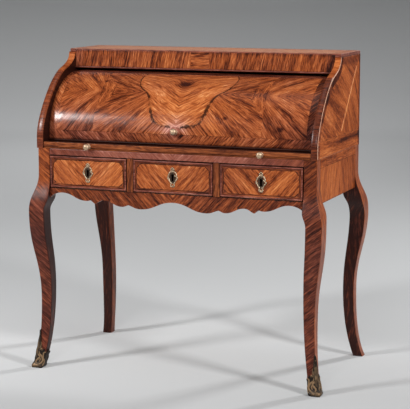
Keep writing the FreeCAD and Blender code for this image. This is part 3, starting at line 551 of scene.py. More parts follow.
class Veneer:
    """A veneered face: leaves laid edge to edge and welded into one sheet."""

    def __init__(self):
        self.points, self.quads, self.grain, self.leaf = [], [], [], []
        self.count = 0

    def lay(self, points, across, along, light=0.5, violet=0.0, joint=NO_JOINT, figure=0, keep=None,
            turn=False):
        """Adds one leaf: its grid of points, and at each the place across and along the grain. keep leaves
        faces out, and turn reverses the faces, for a leaf that is laid mirrored."""
        rows, columns = points.shape[:2]
        spots = np.stack([across + figure * FIGURE_STEP, along + figure * FIGURE_STEP], -1)
        marks = np.stack(np.broadcast_arrays(light, violet, joint, np.zeros((rows, columns)))[:3], -1)
        quads = grid_quads(rows, columns)
        if keep is not None:
            quads = quads[keep.reshape(-1)]
        if turn:
            quads = quads[:, ::-1]
        self.points.append(points.reshape(-1, 3))
        self.quads.append(quads + self.count)
        self.grain.append(spots.reshape(-1, 2)[quads])
        self.leaf.append(marks.reshape(-1, 3)[quads])
        self.count += rows * columns

    def piece(self, name, body, slot="rosewood", materials=(VENEER,)):
        """Welds the leaves into a piece."""
        mesh = new_mesh(name, np.concatenate(self.points), np.concatenate(self.quads).tolist())
        mark_corners(mesh, np.concatenate(self.grain), np.concatenate(self.leaf))
        weld(mesh)
        return add_piece(name, mesh, body, materials)


class Casting:
    """A metal piece: closed surfaces, each a wrapped grid of points with a relief from 0 to 1."""

    def __init__(self):
        self.points, self.quads, self.relief = [], [], []
        self.count = 0

    def add(self, points, relief, wrap_rows=False):
        """Adds one surface whose columns close on themselves; it is turned outwards by its volume."""
        rows, columns = points.shape[:2]
        quads = grid_quads(rows, columns, wrap_rows, True)
        flat = points.reshape(-1, 3)
        a, b, c, d = (flat[quads[:, corner]] - flat.mean(0) for corner in range(4))
        volume = np.sum(np.cross(a, b) * c) + np.sum(np.cross(a, c) * d)
        self.points.append(flat)
        self.quads.append((quads if volume > 0 else quads[:, ::-1]) + self.count)
        self.relief.append(np.broadcast_to(relief, (rows, columns)).reshape(-1))
        self.count += rows * columns

    def piece(self, name, body, slot, material):
        """Welds the surfaces into a piece."""
        mesh = new_mesh(name, np.concatenate(self.points), np.concatenate(self.quads).tolist())
        relief = mesh.attributes.new("relief", "FLOAT", "POINT")
        relief.data.foreach_set("value", np.concatenate(self.relief).astype(np.float32))
        weld(mesh)
        return add_piece(name, mesh, body, (material,))


def cross_frames(path, facing):
    """For each point of a path: the direction sideways, square to the path, and the one it faces."""
    ahead = tangents(path)
    facing = np.broadcast_to(np.asarray(facing, float), path.shape)
    aside = np.cross(ahead, facing)
    aside /= np.linalg.norm(aside, axis=1, keepdims=True)
    return aside, np.cross(aside, ahead)


def rod(path, radius, facing, sides=10, flat=0.8):
    """A rod along a path, closed at its ends: an oval section, flatter the way it faces, carried along it.
    Gives its points, and a relief that is highest on the side that faces out."""
    aside, out = cross_frames(path, facing)
    angle = np.linspace(0, 2 * math.pi, sides, endpoint=False)
    ring = np.cos(angle)[None, :, None] * aside[:, None] + flat * np.sin(angle)[None, :, None] * out[:, None]
    radius = np.array(radius)
    radius[[0, -1]] = 0
    return path[:, None] + radius[:, None, None] * ring, 0.5 + 0.5 * np.sin(angle)[None, :]


def end_spaced(count):
    """Shares from 0 to 1 that crowd towards both ends."""
    return 0.5 - 0.5 * np.cos(np.linspace(0, math.pi, count))


def softened(node, material, arris, keep_faces=False):
    """A board that keeps its CAD shape: a merged copy with eased arrises stands for the node."""
    source = frame["nodes"][node]
    mesh = source.data.copy()
    mesh.name = node + "_board"
    mesh.materials.clear()
    bm = bmesh.new()
    bm.from_mesh(mesh)
    bmesh.ops.remove_doubles(bm, verts=bm.verts, dist=CAD_WELD)
    if not keep_faces:
        bmesh.ops.dissolve_limit(bm, angle_limit=CAD_FLAT, verts=bm.verts, edges=bm.edges)
    bm.to_mesh(mesh)
    bm.free()
    piece = add_piece(node + "_board", mesh, source["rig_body"], (material,))
    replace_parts(piece, node)
    return ease(piece, arris)


def paint_shade_upward(piece):
    """Faces that look straight up take the dark stained finish: stain and painted shade under the fall where
    it comes down.
    """
    piece.data.materials.append(STAIN_AND_SHADE_X)
    refinish(piece.data, face_vectors(piece.data, "normal")[:, 2] > 0.9)


def dress(node, material):
    """Gives a CAD node that stays its own finish."""
    mesh = frame["nodes"][node].data
    mesh.materials.clear()
    mesh.materials.append(material)


# The fall: a quarter cylinder of quartered veneer round a shaped cartouche

hinge = next(joint for joint in frame["joints"] if joint["name"] == "cylinder_turn")
AXIS_Y, AXIS_Z = hinge["pos_m"][1], hinge["pos_m"][2]
shell_low, shell_high = span("cylinder_shell")
FALL_RADIUS = AXIS_Y - shell_low[1]
FALL_END = shell_high[0]
FALL_FOOT = FALL_RADIUS * math.asin((shell_low[2] - AXIS_Z) / FALL_RADIUS)
FALL_TOP = FALL_RADIUS * (math.pi / 2 + math.asin((shell_high[1] - AXIS_Y) / FALL_RADIUS))
SHELL_THICKNESS = 14 * MM
CARTOUCHE_X = -8 * MM
FOOT_BAND = 28 * MM
HEAD_BAND = 274 * MM
END_BAND = 25 * MM
END_RUN, END_RUB = 42 * MM, 1.7 * MM
CARTOUCHE_FOOT = 50 * MM
CARTOUCHE_FLOOR = 20 * MM
SHOULDER = 166 * MM
FIELD_SEAM = 270 * MM
FAN_SLOPE, FAN_STEEP = math.radians(31), math.radians(54)
FAN_BACK, FAN_RISE = 75 * MM, 45 * MM
FIELD_CLOSE = 150 * MM
FIELD_FINENESS = 1.5
FAN_GIRTH, WING_GIRTH, GIRTH_GROWTH = 105 * MM, 100 * MM, 0.25
WALL_PACE, WALL_LEAN, WALL_SOFT, WALL_STRETCH = 0.75, 0.25, 3 * MM, 2.5
WING_BACK = 50 * MM
BOWL_DEPTH, V_STEEP, V_EASED = 24 * MM, 0.52, 0.30
V_ACROSS, V_ALONG = 0.82, 0.57
KNOT_LEVEL, KNOT_SWIRL, SWIRL_REACH = 203 * MM, 20 * MM, 30 * MM
MITRE = 0.7
FIELD_STEPS, WING_STEPS, BAND_STEPS, CORE_STEPS, SEAM_STEPS = 42, 24, 6, 22, 7
LOW_STEPS, HIGH_STEPS, FOOT_STEPS, HEAD_STEPS = 31, 25, 6, 14
WING_SLOPES = {-1: math.radians(50), 1: math.radians(38)}
# Lightness and violet share of each kind of leaf
FALL_LOOKS = {"field": (0.42, 0.10), "wing": (0.40, 0.16), "cartouche": (0.51, 0.0), "foot": (0.43, 0.30),
              "head": (0.34, 0.6)}
# The end bands: the left one painted lighter, as painted light over the side panel's shadow, the right one
# darker, as painted shadow of the right panel
END_LIT_AND_SHADED_LOOKS = {-1: (0.48, 0.30), 1: (0.22, 0.5)}
# Knots by x, height, size and depth, one of them a painted shadow of the knob below and right of it; pale
# spots by x, height, half width, half height and strength
KNOT_FLATNESS = 1.6
FALL_KNOTS_AND_KNOB_SHADOW = ((-14, 203, 20, 0.4), (10, 25, 10, 0.5), (-52, 124, 8, 0.4), (38, 128, 9, 0.4),
              (145, 82, 7, 0.5), (320, 55, 9, 0.55), (-275, 210, 7, 0.5), (225, 190, 12, 0.25),
              (-225, 150, 30, 0.16), (228, 175, 32, 0.16))
PALE_SPOTS = ((-10, 46, 44, 34, 1.0), (-70, 42, 45, 10, 0.5))
CARTOUCHE_LOW = np.array([(20, 50), (52, 55), (73, 68), (86, 92), (94, 120), (104, 146), (119, 166)]) * MM
CARTOUCHE_HIGH = np.array([(119, 166), (139, 182), (152, 208), (156, 236), (150, 258), (141, 274)]) * MM


def on_fall(x, height):
    """A point of the fall's face: x along the axis, height as arc length up from the level of the axis. Near
    both ends the face is rubbed round, by the square of the way past the start of the rubbing."""
    turn = height / FALL_RADIUS
    rubbed = END_RUB * np.clip((np.abs(x) - FALL_END + END_RUN) / END_RUN, 0, 1) ** 2
    return np.stack(np.broadcast_arrays(x, AXIS_Y - (FALL_RADIUS - rubbed) * np.cos(turn),
                                        AXIS_Z + (FALL_RADIUS - rubbed) * np.sin(turn)), -1)


def cartouche_grain(dx, h):
    """V lines that point down at the seam: level less a share of the distance from it. Towards the knot the
    point rounds into a bowl and swirls under the knot, and above it the lines come nearly level."""
    bowl = BOWL_DEPTH * climb(h, 140, 60)
    steep = V_STEEP - V_EASED * climb(h, 215, 60)
    swirl = KNOT_SWIRL * np.exp(-(dx ** 2 + (h - KNOT_LEVEL) ** 2) / SWIRL_REACH ** 2)
    return V_ACROSS * h - steep * np.hypot(dx, bowl) + swirl, V_ALONG * h + V_ACROSS * dx


def fan_grain(dx, h):
    """Lines that fan out from a point behind the cartouche's shoulder, mirrored at its level: place across
    is the ray's turn times a length, and past a steep turn the lines run side by side. A distance out they
    swing upright to close on their mirror image, by a soft greater-of."""
    u, v = dx - CARTOUCHE_LOW[-1, 0], np.abs(h - SHOULDER)
    turn, reach = np.arctan2(v + FAN_RISE, u + FAN_BACK), np.hypot(v + FAN_RISE, u + FAN_BACK)
    ray = (np.minimum(turn, FAN_STEEP) - FAN_SLOPE) * (FAN_GIRTH + GIRTH_GROWTH * reach)
    ray = ray + reach * np.sin(np.clip(turn - FAN_STEEP, 0, math.pi / 2))
    wall = WALL_PACE * (u - FIELD_CLOSE - WALL_LEAN * v)
    closed = 0.5 + 0.5 * np.tanh((wall - ray) / (2 * WALL_SOFT))
    across = FIELD_FINENESS * WALL_SOFT * np.logaddexp(ray / WALL_SOFT, wall / WALL_SOFT)
    return across, reach + WALL_STRETCH * closed * v


def wing_grain(dx, h, slope):
    """Lines that fan out from a point behind the field seam, away from the shoulder level on both sides."""
    u, v = dx - FIELD_SEAM + WING_BACK, np.abs(h - SHOULDER) + WING_BACK * math.tan(slope)
    reach = np.hypot(u, v)
    return FIELD_FINENESS * (np.arctan2(v, u) - slope) * (WING_GIRTH + GIRTH_GROWTH * reach), reach


def mitred_grain(dx, h):
    """Lines at half a right angle, for the fall's foot and end bands and the drawer rail."""
    return MITRE * (h - dx), MITRE * (h + dx)


def head_grain(dx, h):
    """Level lines, for the band along the head."""
    return MITRE * h, MITRE * (h + dx)


def marks_on_fall(x, h):
    """How much lighter or darker, and how much more violet, the fall is at a place: knots and dark marks, one
    of them a painted shadow of the knob, the pale patch round the knob, a painted violet sheen low at the
    left end, darker violet low at the right end, and violet along the head."""
    light = np.zeros_like(h)
    # one of the knots is a painted shadow of the knob, below and to its right
    for knot_x, knot_h, size, depth in FALL_KNOTS_AND_KNOB_SHADOW:
        light -= depth * hump(x, knot_x, size) * hump(KNOT_FLATNESS * h, KNOT_FLATNESS * knot_h, size)
    rubbed = sum(strength * hump(x, spot_x, wide) * hump(h, spot_h, tall)
                 for spot_x, spot_h, wide, tall, strength in PALE_SPOTS)
    # painted sheen: the lower left of the fall is made more violet where a soft highlight lies
    lower_left = climb(-x, 0, 300) * climb(-h, -143, 110)
    lower_right = climb(x, 200, 200) * climb(-h, -144, 120)
    head = climb(h, 235, 40)
    light += 0.42 * rubbed - 0.10 * lower_right - 0.08 * head
    return light, rubbed + 0.5 * lower_left + 0.45 * lower_right + 0.3 * head


def line_distance(grid, line):
    """Distance of every grid point from a line of points, measured to the nearest of its straight steps."""
    start, step = line[:-1], np.diff(line, axis=0)
    reach = grid[..., None, :] - start
    share = np.clip(np.sum(reach * step, -1) / np.sum(step * step, -1), 0, 1)
    return np.min(np.linalg.norm(reach - share[..., None] * step, axis=-1), -1)


def outline_weight(h, side):
    """The weight of the cartouche's outline by height: thin above the shoulder, heaviest low at the right."""
    return 0.8 + climb(-h, -195, 60) + (side > 0) * np.minimum(climb(-h, -140, 80), 0.6)


def lay_fall_half(sheet, side):
    """One half of the fall, worked out to the right of the cartouche's seam and laid to either side: leaves
    below and above the shoulder level with their end bands, the cartouche half, foot band and head band."""
    end = FALL_END - side * CARTOUCHE_X
    wing = end - END_BAND
    field_shares, wing_shares, band_shares, core_shares = (
        np.linspace(0, 1, steps) for steps in (FIELD_STEPS, WING_STEPS, BAND_STEPS, CORE_STEPS))
    low_line, high_line = smooth_line(CARTOUCHE_LOW, LOW_STEPS), smooth_line(CARTOUCHE_HIGH, HIGH_STEPS)
    outline = chain([low_line, high_line])
    floor_line = np.stack([CARTOUCHE_FLOOR * core_shares, np.full(CORE_STEPS, CARTOUCHE_FOOT)], -1)
    seam_foot = np.stack([np.zeros(SEAM_STEPS), np.linspace(FOOT_BAND, CARTOUCHE_FOOT, SEAM_STEPS)], -1)
    below = (FOOT_BAND + CARTOUCHE_FOOT) / 2
    low_levels = chain([np.linspace(FOOT_BAND, below, SEAM_STEPS),
                        np.linspace(below, CARTOUCHE_FOOT, CORE_STEPS),
                        np.linspace(CARTOUCHE_FOOT, SHOULDER, LOW_STEPS)])
    high_levels = np.linspace(SHOULDER, HEAD_BAND, HIGH_STEPS)

    def upright(dx, levels):
        """An upright line at a distance from the seam."""
        return np.stack([np.full(len(levels), dx), levels], -1)

    def lay(grid, grain, look, **more):
        """Bends a grid round the fall and lays it; the marks at each place are added to its look."""
        dx, h = grid[..., 0], grid[..., 1]
        points = on_fall(CARTOUCHE_X + side * dx, h)
        across, along = grain(dx, h)
        lighter, redder = marks_on_fall(points[..., 0], h)
        sheet.lay(points, across, along, look[0] + lighter, look[1] + redder, turn=side < 0, **more)

    def outlined(grid):
        """Distance from the cartouche's outline, over the weight of the line there."""
        return line_distance(grid, outline) / outline_weight(grid[..., 1], side)

    for inner, levels in ((chain([seam_foot, floor_line, low_line]), low_levels), (high_line, high_levels)):
        grid = between(inner, upright(FIELD_SEAM, levels), field_shares)
        lay(grid, fan_grain, FALL_LOOKS["field"], joint=outlined(grid), figure=1)
        grid = between(upright(FIELD_SEAM, levels), upright(wing, levels), wing_shares)
        lay(grid, lambda dx, h: wing_grain(dx, h, WING_SLOPES[side]), FALL_LOOKS["wing"], figure=2)
        grid = between(upright(wing, levels), upright(end, levels), band_shares)
        lay(grid, mitred_grain, END_LIT_AND_SHADED_LOOKS[side], figure=3, joint=(grid[..., 0] - wing) / LINES["fall end"])
    seam = upright(0.0, np.linspace(CARTOUCHE_FOOT, HEAD_BAND, len(outline)))
    grid = between(seam, outline, core_shares)
    lay(grid, cartouche_grain, FALL_LOOKS["cartouche"], figure=4, joint=outlined(grid))
    crown = outline[-1, 0]
    foot_run = np.concatenate([FIELD_SEAM * field_shares, FIELD_SEAM + (wing - FIELD_SEAM) * wing_shares[1:],
                               wing + END_BAND * band_shares[1:]])
    head_run = np.concatenate([crown * core_shares, crown + (FIELD_SEAM - crown) * field_shares[1:],
                               foot_run[FIELD_STEPS:]])
    foot_grid = np.stack(np.meshgrid(foot_run, np.linspace(FALL_FOOT, FOOT_BAND, FOOT_STEPS)), -1)
    head_grid = np.stack(np.meshgrid(head_run, np.linspace(HEAD_BAND, FALL_TOP, HEAD_STEPS)), -1)
    for grid, grain, look, edge in ((foot_grid, mitred_grain, "foot", FOOT_BAND),
                                    (head_grid, head_grain, "head", HEAD_BAND)):
        lay(grid, grain, FALL_LOOKS[look], figure=5, joint=np.abs(grid[..., 1] - edge) / LINES["fall band"])


fall = Veneer()
for side in SIDES:
    lay_fall_half(fall, side)
fall = fall.piece("fall_veneer", "cylinder", materials=(FALL_VENEER, OAK_X))
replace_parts(fall, "cylinder_shell")
thicken(fall, SHELL_THICKNESS, 0, core=1)
# The fall's lip takes the dark stained finish, as painted shade in the gap over the slide
softened("cylinder_lip", STAIN_AND_SHADE_X, 1.2 * MM, keep_faces=True)
for node in ("cylinder_runner_left", "cylinder_runner_right"):
    dress(node, OAK_Y)


# Legs: rounded square sections carried down two curved profiles

CASE_SIDE = 445 * MM
CASE_FRONT = -240.5 * MM
CASE_BACK = 204.5 * MM
POST_TOP = span("leg_front_left")[1][2]
LEG_ARRIS = 2.2 * MM
LEG_LEVELS = np.linspace(0, POST_TOP, 130)
FRONT_OUT = ((0, 688), (0, 610), (24, 494), (-2, 220), (22, 0))
FRONT_IN = ((-39, 688), (-39, 543), (-26, 494), (-37, 262), (-9, 0))
BACK_SIDE_OUT = ((0, 688), (0, 610), (24, 494), (-8, 220), (13, 0))
BACK_SIDE_IN = ((-39, 688), (-39, 543), (-26, 494), (-43, 220), (-18, 0))
BACK_REAR_OUT = ((0, 688), (0, 610), (43, 452), (27, 255), (65, 0))
BACK_REAR_IN = ((-39, 688), (-39, 543), (-1, 452), (-8, 255), (34, 0))
EASE = 0.45
OUTER_KICK, INNER_KICK = 0.25, 0.5
LEG_SLANT = math.radians(38)
# Lightness and violet share of each kind of face; the front changes at the post, the left post painted
# lighter and the right darker as painted light and shade. The dark faces are a stain with painted shade, and
# the back legs' inner face is painted lighter as painted light.
LEG_FRONT = (0.28, 0.85)
POST_FRONT_LIT_AND_SHADED = {-1: (0.38, 0.1), 1: (0.20, 0.4)}
LEG_LOOKS_LIT_AND_SHADED = {"side": (0.40, 0.25), "dark": (0.02, 0.75), "rear": (0.20, 0.5), "inner": (0.30, 0.5)}
LEG_CAP = (0.1, 0.7, NO_JOINT)


def leg_profile(stops, kick, levels):
    """How far a leg face stands out at each level: a straight post, two cubic runs that leave and arrive
    upright, and a foot run that kicks out at its end."""
    stops = np.array(stops) * MM
    rows = [stops[:2]]
    for start, end in zip(stops[1:-2], stops[2:-1]):
        rise = np.array([0, EASE * (end[1] - start[1])])
        rows.append(bezier((start, start + rise, end - rise, end), 60))
    start, end = stops[-2:]
    rise = end[1] - start[1]
    rows.append(bezier((start, start + (0, EASE * rise),
                        (start[0] + (end[0] - start[0]) * kick, end[1] - EASE * rise / 2), end), 60))
    line = chain(rows)[::-1]
    return np.interp(levels, line[:, 1], line[:, 0])


def leg_section(side, back, levels):
    """Inner and outer x and y of a leg at each level."""
    if back:
        lines = (BACK_SIDE_OUT, BACK_SIDE_IN, BACK_REAR_OUT, BACK_REAR_IN)
    else:
        lines = (FRONT_OUT, FRONT_IN, FRONT_OUT, FRONT_IN)
    kicks = (OUTER_KICK, INNER_KICK) * 2
    x_out, x_in, y_out, y_in = (leg_profile(line, kick, levels) for line, kick in zip(lines, kicks))
    rear, face = (1, CASE_BACK) if back else (-1, CASE_FRONT)
    return side * (CASE_SIDE + x_in), side * (CASE_SIDE + x_out), face + rear * y_in, face + rear * y_out


def rounded_loop(arc=5, run=4):
    """A rectangle with rounded corners as shares: for each corner an arc, then a straight run to the next.
    Gives the corner signs, the arc offsets and the side each step belongs to."""
    quarter = np.linspace(0, math.pi / 2, arc)
    corner_angle = np.array([math.pi, 1.5 * math.pi, 0, math.pi / 2])
    angle = corner_angle[:, None] + quarter[None]
    signs = np.array([(-1, -1), (1, -1), (1, 1), (-1, 1)], float)
    corner = np.repeat(signs[:, None], arc, 1)
    offset = np.stack([np.cos(angle), np.sin(angle)], -1)
    following = np.roll(corner[:, 0], -1, 0)
    share = (np.arange(run) + 1)[None, :, None] / (run + 1)
    last, first = offset[:, -1:], np.roll(offset[:, 0], -1, 0)[:, None]
    corner = np.concatenate([corner, corner[:, -1:] * (1 - share) + following[:, None] * share], 1)
    offset = np.concatenate([offset, last * (1 - share) + first * share], 1)
    belongs = np.concatenate([np.full((4, arc // 2), -1), np.zeros((4, arc - arc // 2 + run), int)], 1)
    belongs = (belongs + np.arange(4)[:, None]) % 4
    return corner.reshape(-1, 2), offset.reshape(-1, 2), belongs.reshape(-1)


LOOP_CORNER, LOOP_OFFSET, LOOP_SIDE = rounded_loop()


def leg_points(side, back, levels):
    """The leg's skin at each level: the rounded rectangle between its inner and outer lines."""
    x_in, x_out, y_in, y_out = leg_section(side, back, levels)
    x_mid, x_half = (x_in + x_out) / 2, np.abs(x_out - x_in) / 2
    y_mid, y_half = (y_in + y_out) / 2, np.abs(y_out - y_in) / 2
    corner, offset = LOOP_CORNER, LEG_ARRIS * LOOP_OFFSET
    x = x_mid[:, None] + corner[:, 0] * (x_half - LEG_ARRIS)[:, None] + offset[:, 0]
    y = y_mid[:, None] + corner[:, 1] * (y_half - LEG_ARRIS)[:, None] + offset[:, 1]
    return np.stack([x, y, np.broadcast_to(levels[:, None], x.shape)], -1)


def make_leg(name, side, back):
    """One leg. On the front the grain runs in a slant away from the outer arris, on the side it runs upright,
    and faces that look under the desk are dark, a stain with painted shade; the back legs' inner face and the
    posts' fronts carry painted light and shade."""
    points = leg_points(side, back, LEG_LEVELS)
    rows, columns = points.shape[:2]
    x, y, z = points[..., 0], points[..., 1], points[..., 2]
    post = climb(z, 545, 50)
    front_look = [leg + (top - leg) * post for leg, top in zip(LEG_FRONT, POST_FRONT_LIT_AND_SHADED[side])]
    inside = 0.8 * (x + y), z
    grains = {"front": slanted(z, CASE_SIDE - side * x, -LEG_SLANT), "side": (0.9 * y + 0.10 * z, z)}
    outer = 2 - side
    faces = ["dark", "dark", "rear", "dark"] if back else ["front", "dark", "dark", "dark"]
    faces[outer] = "side"
    faces[4 - outer] = "inner" if back else "dark"
    spots, marks = [], []
    for face in faces:
        across, along = grains.get(face, inside)
        light, violet = LEG_LOOKS_LIT_AND_SHADED.get(face, front_look)
        spots.append(np.stack([across + (side + 2 * back + 3) * FIGURE_STEP, along], -1).reshape(-1, 2))
        marks.append(np.stack(np.broadcast_arrays(light, violet, NO_JOINT, z)[:3], -1).reshape(-1, 3))
    quads = grid_quads(rows, columns, wrap_columns=True)
    belongs = np.tile(LOOP_SIDE, rows - 1)[:, None]
    spots, marks = np.stack(spots)[belongs, quads], np.stack(marks)[belongs, quads]
    top = np.arange((rows - 1) * columns, rows * columns).tolist()
    foot = np.arange(columns)[::-1].tolist()
    mesh = new_mesh(name, points, quads.tolist() + [top, foot])
    mark_corners(mesh, np.concatenate([spots.reshape(-1, 2), np.zeros((2 * columns, 2))]),
                 np.concatenate([marks.reshape(-1, 3), np.tile(LEG_CAP, (2 * columns, 1))]))
    piece = add_piece(name + "_veneer", mesh, "carcase", (LEG_VENEER,))
    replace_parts(piece, name)


for side, hand in HANDS:
    make_leg("leg_front_" + hand, side, False)
    make_leg("leg_back_" + hand, side, True)


# Apron: a scalloped board with slanting leaves either side of the middle

STILE_IN = 406 * MM
APRON_DEPTH = 51 * MM
APRON_THICKNESS = 20 * MM
apron_low, apron_high = span("front_apron")
APRON_SLANT = math.radians(48)
APRON_LEAVES = ((0, 0.5, 6, 0.29), (0.5, 1, 7, 0.25))
WAVE = ((0, .50, "flat"), (.26, 1, "flat"), (.357, .80, "free"), (.41, .92, "flat"), (.554, .595, "flat"),
        (.63, .84, "free"), (.663, .645, "free"), (.70, .695, "flat"), (.90, .27, "flat"),
        (1, .65, "upright"))


def wave_line():
    """The apron's lower edge from the middle to the stile: cubic runs between its points, each leaving
    and arriving level, upright or straight on."""
    runs = []
    for (x0, d0, leave), (x1, d1, arrive) in zip(WAVE[:-1], WAVE[1:]):
        start = np.array([x0 * STILE_IN, apron_high[2] - d0 * APRON_DEPTH])
        end = np.array([x1 * STILE_IN, apron_high[2] - d1 * APRON_DEPTH])
        handle = {"flat": EASE * (end - start) * (1, 0), "upright": EASE * (end - start) * (0, 1),
                  "free": EASE * (end - start)}
        runs.append(bezier((start, start + handle[leave], end - handle[arrive], end), 22))
    return chain(runs)


def make_apron():
    """A sheet between the scalloped edge and the drawer openings, in four mirrored leaves."""
    half = wave_line()
    sheet = Veneer()
    shares = np.linspace(0, 1, 9)
    for side in SIDES:
        for low, high, figure, light in APRON_LEAVES:
            first, last = np.searchsorted(half[:, 0], (low * STILE_IN, high * STILE_IN))
            foot = half[first:last + 1]
            head = np.stack([foot[:, 0], np.full(len(foot), apron_high[2])], -1)
            grid = np.swapaxes(between(foot, head, shares), 0, 1)
            dx, z = grid[..., 0], grid[..., 1]
            points = np.stack([side * dx, np.full(dx.shape, apron_low[1]), z], -1)
            across, along = slanted(z, dx, APRON_SLANT)
            # the dark line along the head, by the drawer openings, is dirt and painted shade in the crevice
            sheet.lay(points, across, along, light, 0.3, figure=figure, turn=side < 0,
                      joint=(apron_high[2] - z) / LINES["apron"])
    piece = sheet.piece("apron_veneer", "carcase", materials=(VENEER, OAK_X))
    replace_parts(piece, "front_apron")
    thicken(piece, APRON_THICKNESS, 0.8 * MM)


make_apron()


# Sides of the case: rails and ogee panels under thin skins of veneer

SKIN = 0.5 * MM
PANEL_IN = 427 * MM
BELLY_LEVEL = 722 * MM
panel_low, panel_high = span("side_panel_right")
TOP_FRONT = span("top_board")[0][1]
BAND_WIDTH = 26 * MM
PANEL_BAND = 738 * MM
NOSING_OUT = {-1: 4.5 * MM, 1: 0.8 * MM}
NOSING_PROUD = {-1: 8 * MM, 1: 3.5 * MM}
NOSING_SECTION = np.array([(0, -0.6), (0.03, 0.55), (0.14, 0.88), (0.4, 1), (0.68, 0.9), (0.88, 0.6),
                           (0.97, 0.15), (1, -0.3), (1, -0.8), (0.97, -1.2), (0.5, -1.2), (0.05, -1.0),
                           (0, -0.6)])
NOSING_LEAST, NOSING_DEEP = 1.5 * MM, 6 * MM
# The left nosing is painted lighter and the right darker, as painted light and shade
NOSING_LIT_AND_SHADED = {-1: 0.32, 1: 0.19}
NOSING_HEAD_LIGHT, NOSING_HEAD = 0.44, 915 * MM
STRING_INSET = (5 * MM, 2.5 * MM)
STRING_SUNK, STRING_RADIUS = 0.3 * MM, 2.0 * MM
SEAM_SLANT = math.radians(76)
SHORT_SEAM = np.array([(-75, 770), (-35, 738)]) * MM
SEAM_FOOT, SEAM_HEAD = np.array([(5, 750), (165, 935)]) * MM
# Lighter and darker patches of the sides by y, z, half length, half height and lift
SIDE_PATCHES = ((-95, 878, 55, 16, -0.22), (-50, 765, 38, 26, -0.18), (-5, 932, 22, 12, 0.14),
                (35, 840, 45, 50, 0.08), (-150, 715, 50, 13, 0.14), (150, 800, 40, 60, -0.08))
LEG_WIDTH = 39 * MM
RAIL_MIDDLE, RAIL_STRIP = -5 * MM, 662 * MM


def ogee_line(count=46):
    """The panel's front edge, as y and z: upright to the belly, then two cubic runs to the frieze."""
    origin = np.array([CASE_FRONT, BELLY_LEVEL])
    size = np.array([TOP_FRONT - CASE_FRONT, panel_high[2] - BELLY_LEVEL])
    lower = bezier([origin + size * share for share in ((0, 0), (0, .242), (.428, .704), (.693, .79))], count)
    upper = bezier([origin + size * share for share in ((.693, .79), (.836, .837), (1, .883), (1, 1))], count)
    foot = np.stack([np.full(8, CASE_FRONT), np.linspace(panel_low[2], BELLY_LEVEL, 8)], -1)
    return chain([foot, lower, upper])


def inward(line, distance):
    """A line moved square to itself, towards the back of the case."""
    ahead = tangents(line)
    return line + distance * np.stack([ahead[:, 1], -ahead[:, 0]], -1)


def seam_grain(y, z, start, end, slant):
    """Lines that meet a straight seam at the same slant on both sides, mirrored about it: places across and
    along, and the distance from the seam."""
    ahead = (end - start) / np.linalg.norm(end - start)
    away = np.abs((y - start[0]) * ahead[1] - (z - start[1]) * ahead[0])
    down = (y - start[0]) * ahead[0] + (z - start[1]) * ahead[1]
    return (*slanted(away, down, -slant), away)


def lay_nosing(side, hand, edge, run):
    """The rounded nosing on a panel's front edge: a closed section carried up the edge line, proud of it by
    an amount that swells towards the middle, crossbanded, with its ends drawn together."""
    over, lifted = NOSING_SECTION.T
    wide = CASE_SIDE - PANEL_IN + NOSING_OUT[side]
    proud = NOSING_LEAST + (NOSING_PROUD[side] - NOSING_LEAST) * hump(edge[:, 1], 870, 75)
    lift = np.where(lifted > 0, lifted * proud[:, None], lifted * NOSING_DEEP)
    ahead = tangents(edge)
    square = np.stack([-ahead[:, 1], ahead[:, 0]], -1)
    rows = edge[:, None] + lift[..., None] * square[:, None]
    x = np.broadcast_to(side * (PANEL_IN + wide * over), rows.shape[:2])
    points = np.concatenate([x[..., None], rows], -1)
    caps = [np.broadcast_to(points[end].mean(0), points[:1].shape) for end in (0, -1)]
    points = np.concatenate([caps[0], points, caps[1]])
    across = np.concatenate([run[:1], run, run[-1:]])[:, None] + 0 * points[..., 0]
    beside_frieze = climb(points[..., 2], 905, 20)
    # painted light and shade: the left nosing lighter, the right darker, up to the frieze
    light = NOSING_LIT_AND_SHADED[side] + (NOSING_HEAD_LIGHT - NOSING_LIT_AND_SHADED[side]) * beside_frieze
    lip = Veneer()
    lip.lay(points, across, np.abs(points[..., 0]), light, 0.4 - 0.35 * beside_frieze, figure=5,
            turn=side < 0)
    mesh = lip.piece("panel_edge_" + hand, "carcase", materials=(EDGE_VENEER, SIDE_VENEER)).data
    refinish(mesh, face_vectors(mesh, "center")[:, 2] > NOSING_HEAD)


def lay_string(side, hand, edge, inset):
    """The pale string let in beside the nosing: a thin flat rod along the edge line, moved in by an inset."""
    x = side * (CASE_SIDE + NOSING_OUT[side] - STRING_SUNK)
    path = np.concatenate([np.full((len(edge), 1), x), inward(edge, inset)], 1)
    points, _ = rod(path, np.full(len(edge), STRING_RADIUS), (side, 0, 0), sides=8, flat=0.5)
    string = Casting()
    string.add(points, 0.5)
    string.piece("panel_string_" + hand, "carcase", "rosewood", STRING_WOOD)


